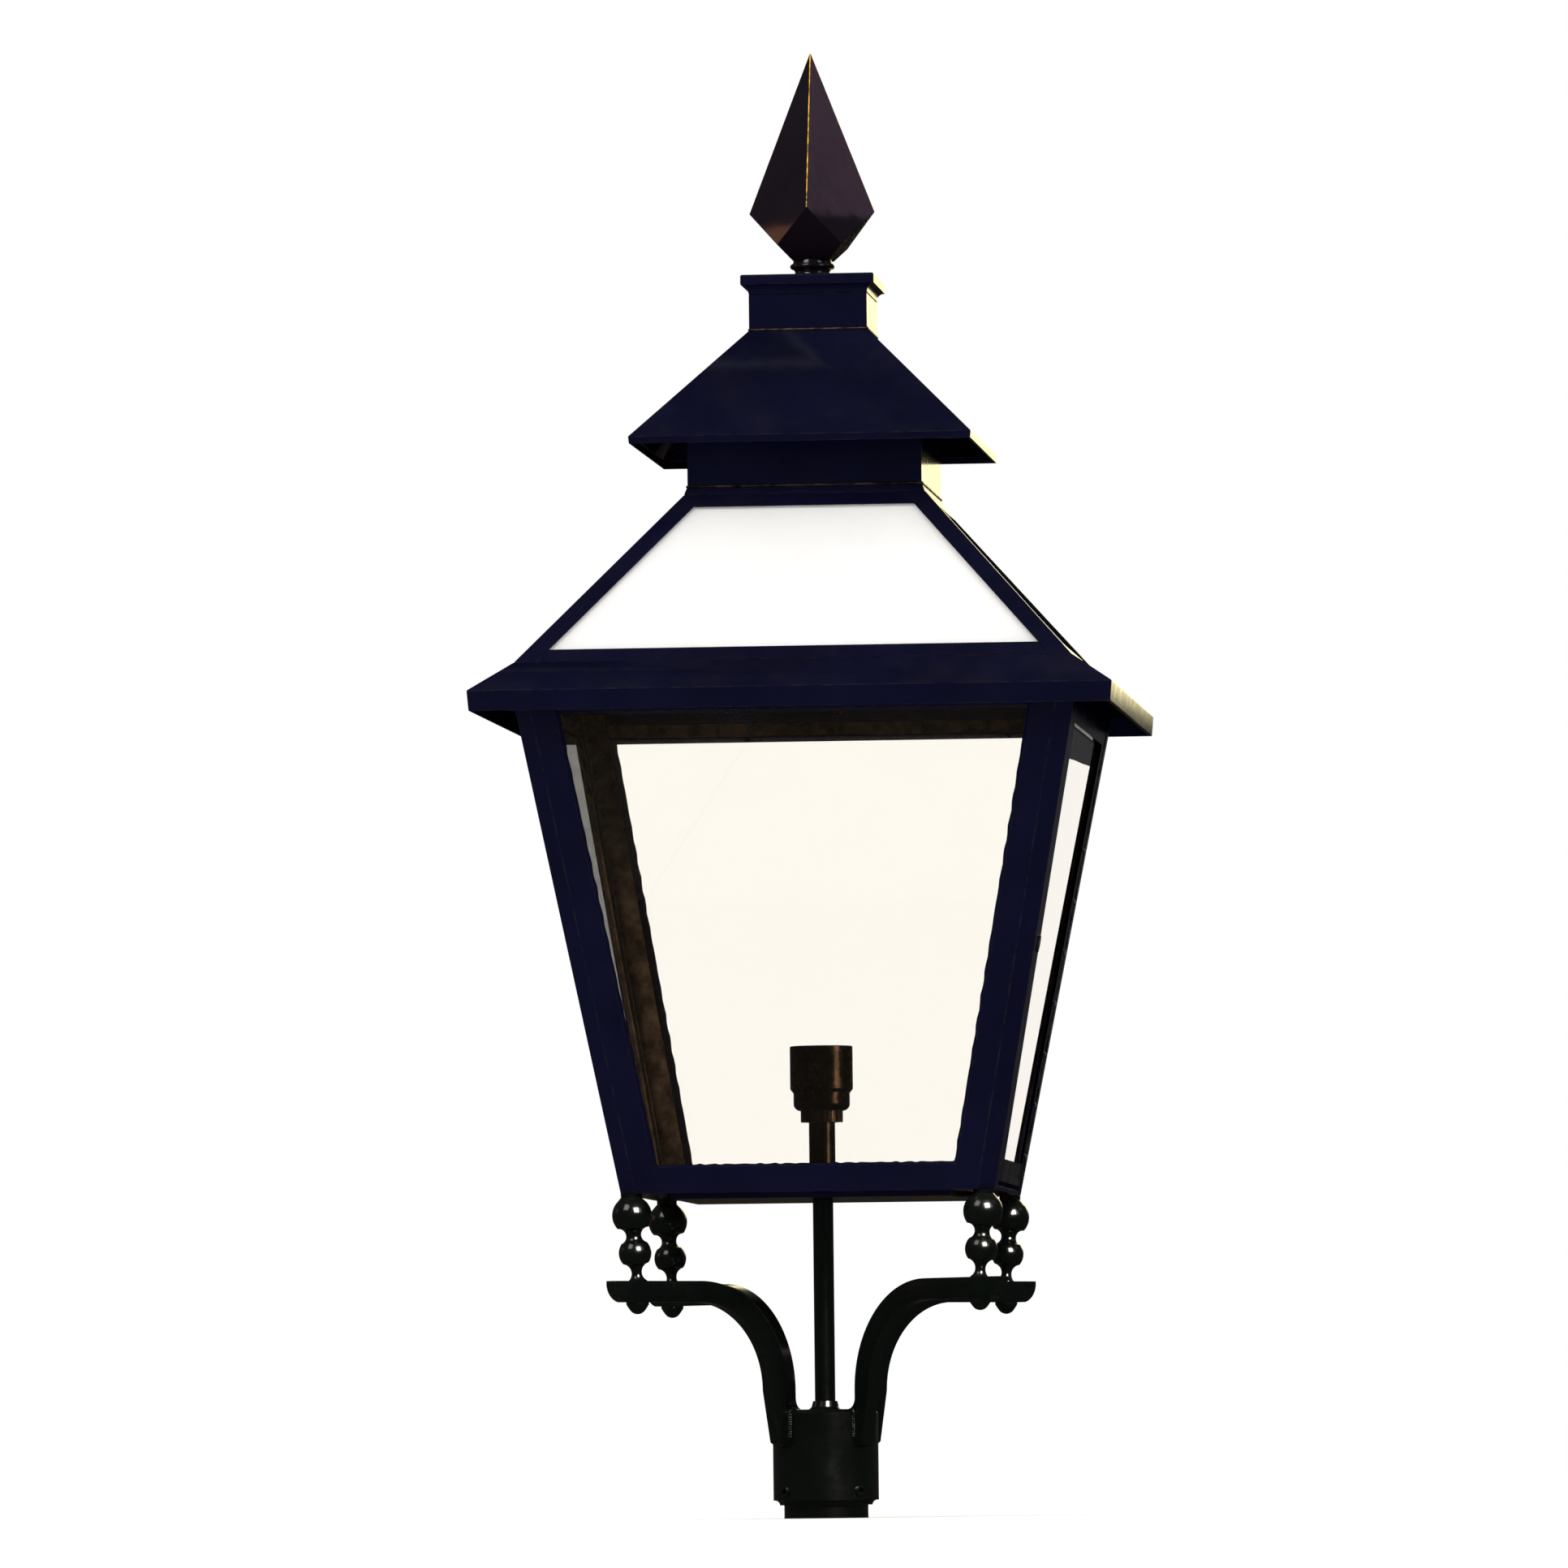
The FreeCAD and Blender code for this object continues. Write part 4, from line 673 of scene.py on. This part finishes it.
class LANTERN_OT_rivets(bpy.types.Operator):
    """Rivets the hinge's leaves to the door and to the post"""
    bl_idname = "lantern.rivets"
    bl_label = "Hinge rivets"

    def execute(self, context):
        sizes = context.scene.lantern_sizes
        out = Vector((1, 0, wall_half(0.0) - wall_half(1.0)))
        low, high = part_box("hinge_leaf_door")
        foot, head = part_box("hinge_pin")
        pin, count = 1.6 * MM, 7
        rows = (("hinge_rivets_door", "door", -8.5 * MM), ("hinge_rivets_post", "lantern", 9.0 * MM))
        for name, body, aside in rows:
            bm = bmesh.new()
            for i in range(count):
                z = low[2] + (high[2] - low[2]) * (0.06 + 0.88 * i / (count - 1))
                share = (z - foot[2]) / (head[2] - foot[2])
                axis_y = foot[1] + pin + (head[1] - foot[1] - 2 * pin) * share
                dome(bm, Vector((wall_half(z), axis_y + aside, z)), out, sizes.rivet, 0.45 * sizes.rivet)
            finished(name, bm, "navy_enamel", body)
        return {"FINISHED"}


class LANTERN_OT_putty(bpy.types.Operator):
    """Strikes the putty round the outside of every pane of the body"""
    bl_idname = "lantern.putty"
    bl_label = "Glazing putty"

    def execute(self, context):
        width = context.scene.lantern_sizes.putty
        lean = wall_half(1.0) - wall_half(0.0)
        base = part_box("base_rail_front")[1][2]
        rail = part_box("top_rails")[0][2]
        # The putty starts just inside the metal, and its slope ends just behind the pane's face.
        lip, hold, sunk, steps = 0.4 * MM, 0.2 * MM, 0.02 * MM, 60
        bm = bmesh.new()
        for index, turn in enumerate((math.pi, math.pi / 2, -math.pi / 2)):
            spin = Matrix.Rotation(turn, 4, "Z")
            for side in (-1, 1):
                rings = []
                for i in range(steps + 1):
                    z = base + (rail - base) * i / steps
                    half = wall_half(z)
                    edge = half - POST_FACE
                    jut = width * (1 + 0.14 * math.sin(1.7 * i + index) + 0.1 * math.sin(4.3 * i + side))
                    rings.append([spin @ Vector(point) for point in (
                        (half - SHEET, side * (edge + hold), z), (half - lip, side * (edge + hold), z),
                        (half - lip, side * edge, z), (half - SHEET - sunk, side * (edge - jut), z))])
                skin(bm, rings)
            for z, way in ((base, 1), (rail, -1)):
                half = wall_half(z)
                rings = []
                for i in range(steps + 1):
                    along = (half - POST_FACE) * (2 * i / steps - 1)
                    jut = width * (1 + 0.16 * math.sin(2.1 * i + index) + 0.12 * math.sin(3.7 * i))
                    rings.append([spin @ Vector(point) for point in (
                        (half - SHEET, along, z - way * hold), (half - lip, along, z - way * hold),
                        (half - lip, along, z),
                        (half - SHEET + lean * way * jut - sunk, along, z + way * jut))])
                skin(bm, rings)
        finished("glazing_putty", bm, "navy_enamel", "lantern")
        return {"FINISHED"}


class LANTERN_OT_bronze(bpy.types.Operator):
    """Rounds the bronze beads and angles inside the body"""
    bl_idname = "lantern.bronze"
    bl_label = "Inner bronze"

    def execute(self, context):
        for node in BRONZE_STRIPS:
            rounded_copy(node, context.scene.lantern_sizes.strip_edge, "lantern")
        return {"FINISHED"}


class LANTERN_OT_spear(bpy.types.Operator):
    """Rounds the spear's facets and marks its upper edges for a gold line that is partly a painted highlight
    """
    bl_idname = "lantern.spear"
    bl_label = "Spear"

    def execute(self, context):
        for node in SPEAR:
            corners = [vert.co for vert in frame["nodes"][node].data.vertices]
            widest = max(corners, key=lambda co: co.xy.length).z
            # Only the edges above the spear's widest point get the gold line: gilt edges that also stand in
            # for a highlight, a painted highlight.
            rounded_copy(node, context.scene.lantern_sizes.spear_edge, "lantern", widest + 4 * MM)
        return {"FINISHED"}


def lamp(name, place, size, watts, colour, aim):
    """Soft box that lights the lantern and isn't seen itself."""
    data = bpy.data.lights.new(name, "AREA")
    data.shape = "RECTANGLE"
    data.size, data.size_y = size
    data.energy = watts
    data.color = linear(colour)
    box = bpy.data.objects.new(name, data)
    box.location = place
    box.rotation_euler = (Vector(aim) - Vector(place)).to_track_quat("-Z", "Y").to_euler()
    box.visible_camera = False
    box.visible_transmission = False
    bpy.context.scene.collection.objects.link(box)
    return box


def shine_only_on(box, pieces):
    """Keeps a soft box off everything but these pieces, as flags do in a studio."""
    chosen = bpy.data.collections.new(box.name + "_pieces")
    for piece in pieces:
        chosen.objects.link(piece)
    box.light_linking.receiver_collection = chosen


def studio_air():
    """White behind everything that is seen, and dimmer air for what lights and reflects."""
    world = bpy.data.worlds.new("studio_air")
    world.use_nodes = True
    tree = world.node_tree
    tree.nodes.clear()
    # What lights the lantern or shows through its panes is a little above white: the far floor then
    # fades into the backdrop, and the glass gives back what its faces take.
    lift = 1.16
    mirrored = add(tree, "ShaderNodeLightPath", out="Glossy Depth")
    mirrored = add(tree, MATH, {0: mirrored, 1: 1.0}, operation="MINIMUM")
    air = add(tree, MIX, {0: mirrored, 6: (lift, lift, lift, 1), 7: (*linear("#3a3a3c"), 1)},
              out=2, data_type="RGBA")
    straight = add(tree, "ShaderNodeLightPath", out="Is Camera Ray")
    air = add(tree, MIX, {0: straight, 6: air, 7: (1, 1, 1, 1)}, out=2, data_type="RGBA")
    light = add(tree, "ShaderNodeBackground", {"Color": air})
    add(tree, "ShaderNodeOutputWorld", {"Surface": light})
    return world


class LANTERN_OT_stage(bpy.types.Operator):
    """Sets the pale floor, the soft lights and the camera"""
    bl_idname = "lantern.stage"
    bl_label = "Stage"

    def execute(self, context):
        scene = context.scene
        reach = 60.0
        mesh = bpy.data.meshes.new("studio_floor")
        level = CAD_BOX[0][2]
        mesh.from_pydata([(-reach, -reach, level), (reach, -reach, level), (reach, reach, level),
                          (-reach, reach, level)], [], [(0, 1, 2, 3)])
        mesh.materials.append(floor_paper())
        floor = bpy.data.objects.new("studio_floor", mesh)
        scene.collection.objects.link(floor)

        scene.world = studio_air()
        scene.view_settings.view_transform = "Standard"
        middle = (0, 0, 0.55)
        lamp("key_box", (-2.6, -3.6, 4.2), (2.6, 2.6), 120, "#fffdf4", middle)
        lamp("fill_box", (3.4, -2.6, 2.4), (1.8, 1.8), 25, "#f4f6ff", middle)
        lamp("rim_box", (1.1, 5.6, 1.95), (3.2, 2.2), 60, "#fff0b8", (0, 0, 1.95))
        spear_middle = (0, 0, 0.95)
        lamp("side_box", (4.0, 0.4, 3.2), (1.3, 1.3), 3.4, "#ffcdf4", spear_middle)
        lamp("warm_card", (-3.98, 0.38, 1.44), (1.0, 1.0), 3.8, "#ffad7c", spear_middle)
        shine = lamp("spark", (2.4, -3.8, 2.9), (2.4, 2.4), 1100, "#fff8ee", middle)
        shine.visible_diffuse = False
        objects = bpy.data.objects
        shine_only_on(shine, [frame["nodes"][node] for node in ROUND_WORK]
                      + [objects["rounded_" + node] for node in CASTINGS])
        strip = lamp("holder_strip", (4.42, -2.35, 0.9), (0.6, 2.4), 500, "#fff1e6", middle)
        shine_only_on(strip, [frame["nodes"][node] for node in LAMPHOLDER])
        card = lamp("pane_card", (0.95, 6.2, 0.34), (1.8, 0.7), 5.6, "#fffaf2", (0.17, 0, 0.4))
        shine_only_on(card, [frame["nodes"][node] for node in DOOR_EDGE]
                      + [objects[name] for name in ("hinge_rivets_door", "hinge_rivets_post")])

        # The stand-off, height and aim give the view; angles are in degrees.
        azimuth, distance, height = 5.13, 9.262, 0.033
        pitch, aside, roll = 3.02, 0.151, -0.63
        data = bpy.data.cameras.new("view")
        data.lens, data.sensor_width = 299.4, 36.0
        data.clip_end = 200.0
        camera = bpy.data.objects.new("view", data)
        turn = math.radians(azimuth)
        camera.matrix_world = (
            Matrix.Translation((distance * math.sin(turn), -distance * math.cos(turn), height))
            @ Matrix.Rotation(turn + math.radians(aside), 4, "Z")
            @ Matrix.Rotation(math.radians(90 + pitch), 4, "X")
            @ Matrix.Rotation(math.radians(roll), 4, "Z"))
        scene.collection.objects.link(camera)
        scene.camera = camera
        return {"FINISHED"}


class LANTERN_PT_panel(bpy.types.Panel):
    """Sizes, colours and the operators that make the lantern"""
    bl_idname = "LANTERN_PT_panel"
    bl_label = "Street lantern"
    bl_space_type = "VIEW_3D"
    bl_region_type = "UI"
    bl_category = "Lantern"

    def draw(self, context):
        for group in (context.scene.lantern_sizes, context.scene.lantern_colours):
            box = self.layout.box()
            for name in group.__annotations__:
                box.prop(group, name)
        for step in STEPS:
            self.layout.operator(step.bl_idname)


STEPS = (LANTERN_OT_finishes, LANTERN_OT_sheet_metal, LANTERN_OT_door, LANTERN_OT_frog,
         LANTERN_OT_cast_fillets, LANTERN_OT_seams, LANTERN_OT_rivets, LANTERN_OT_putty,
         LANTERN_OT_bronze, LANTERN_OT_spear, LANTERN_OT_stage)
CLASSES = (LanternSizes, LanternColours, *STEPS, LANTERN_PT_panel)


def register():
    for cls in CLASSES:
        bpy.utils.register_class(cls)
    bpy.types.Scene.lantern_sizes = bpy.props.PointerProperty(type=LanternSizes)
    bpy.types.Scene.lantern_colours = bpy.props.PointerProperty(type=LanternColours)


def unregister():
    del bpy.types.Scene.lantern_colours
    del bpy.types.Scene.lantern_sizes
    for cls in reversed(CLASSES):
        bpy.utils.unregister_class(cls)


def main():
    register()
    bpy.ops.lantern.finishes()
    bpy.ops.lantern.sheet_metal()
    bpy.ops.lantern.door()
    bpy.ops.lantern.frog()
    bpy.ops.lantern.cast_fillets()
    bpy.ops.lantern.seams()
    bpy.ops.lantern.rivets()
    bpy.ops.lantern.putty()
    bpy.ops.lantern.bronze()
    bpy.ops.lantern.spear()
    bpy.ops.lantern.stage()


if __name__ == "__main__":
    main()
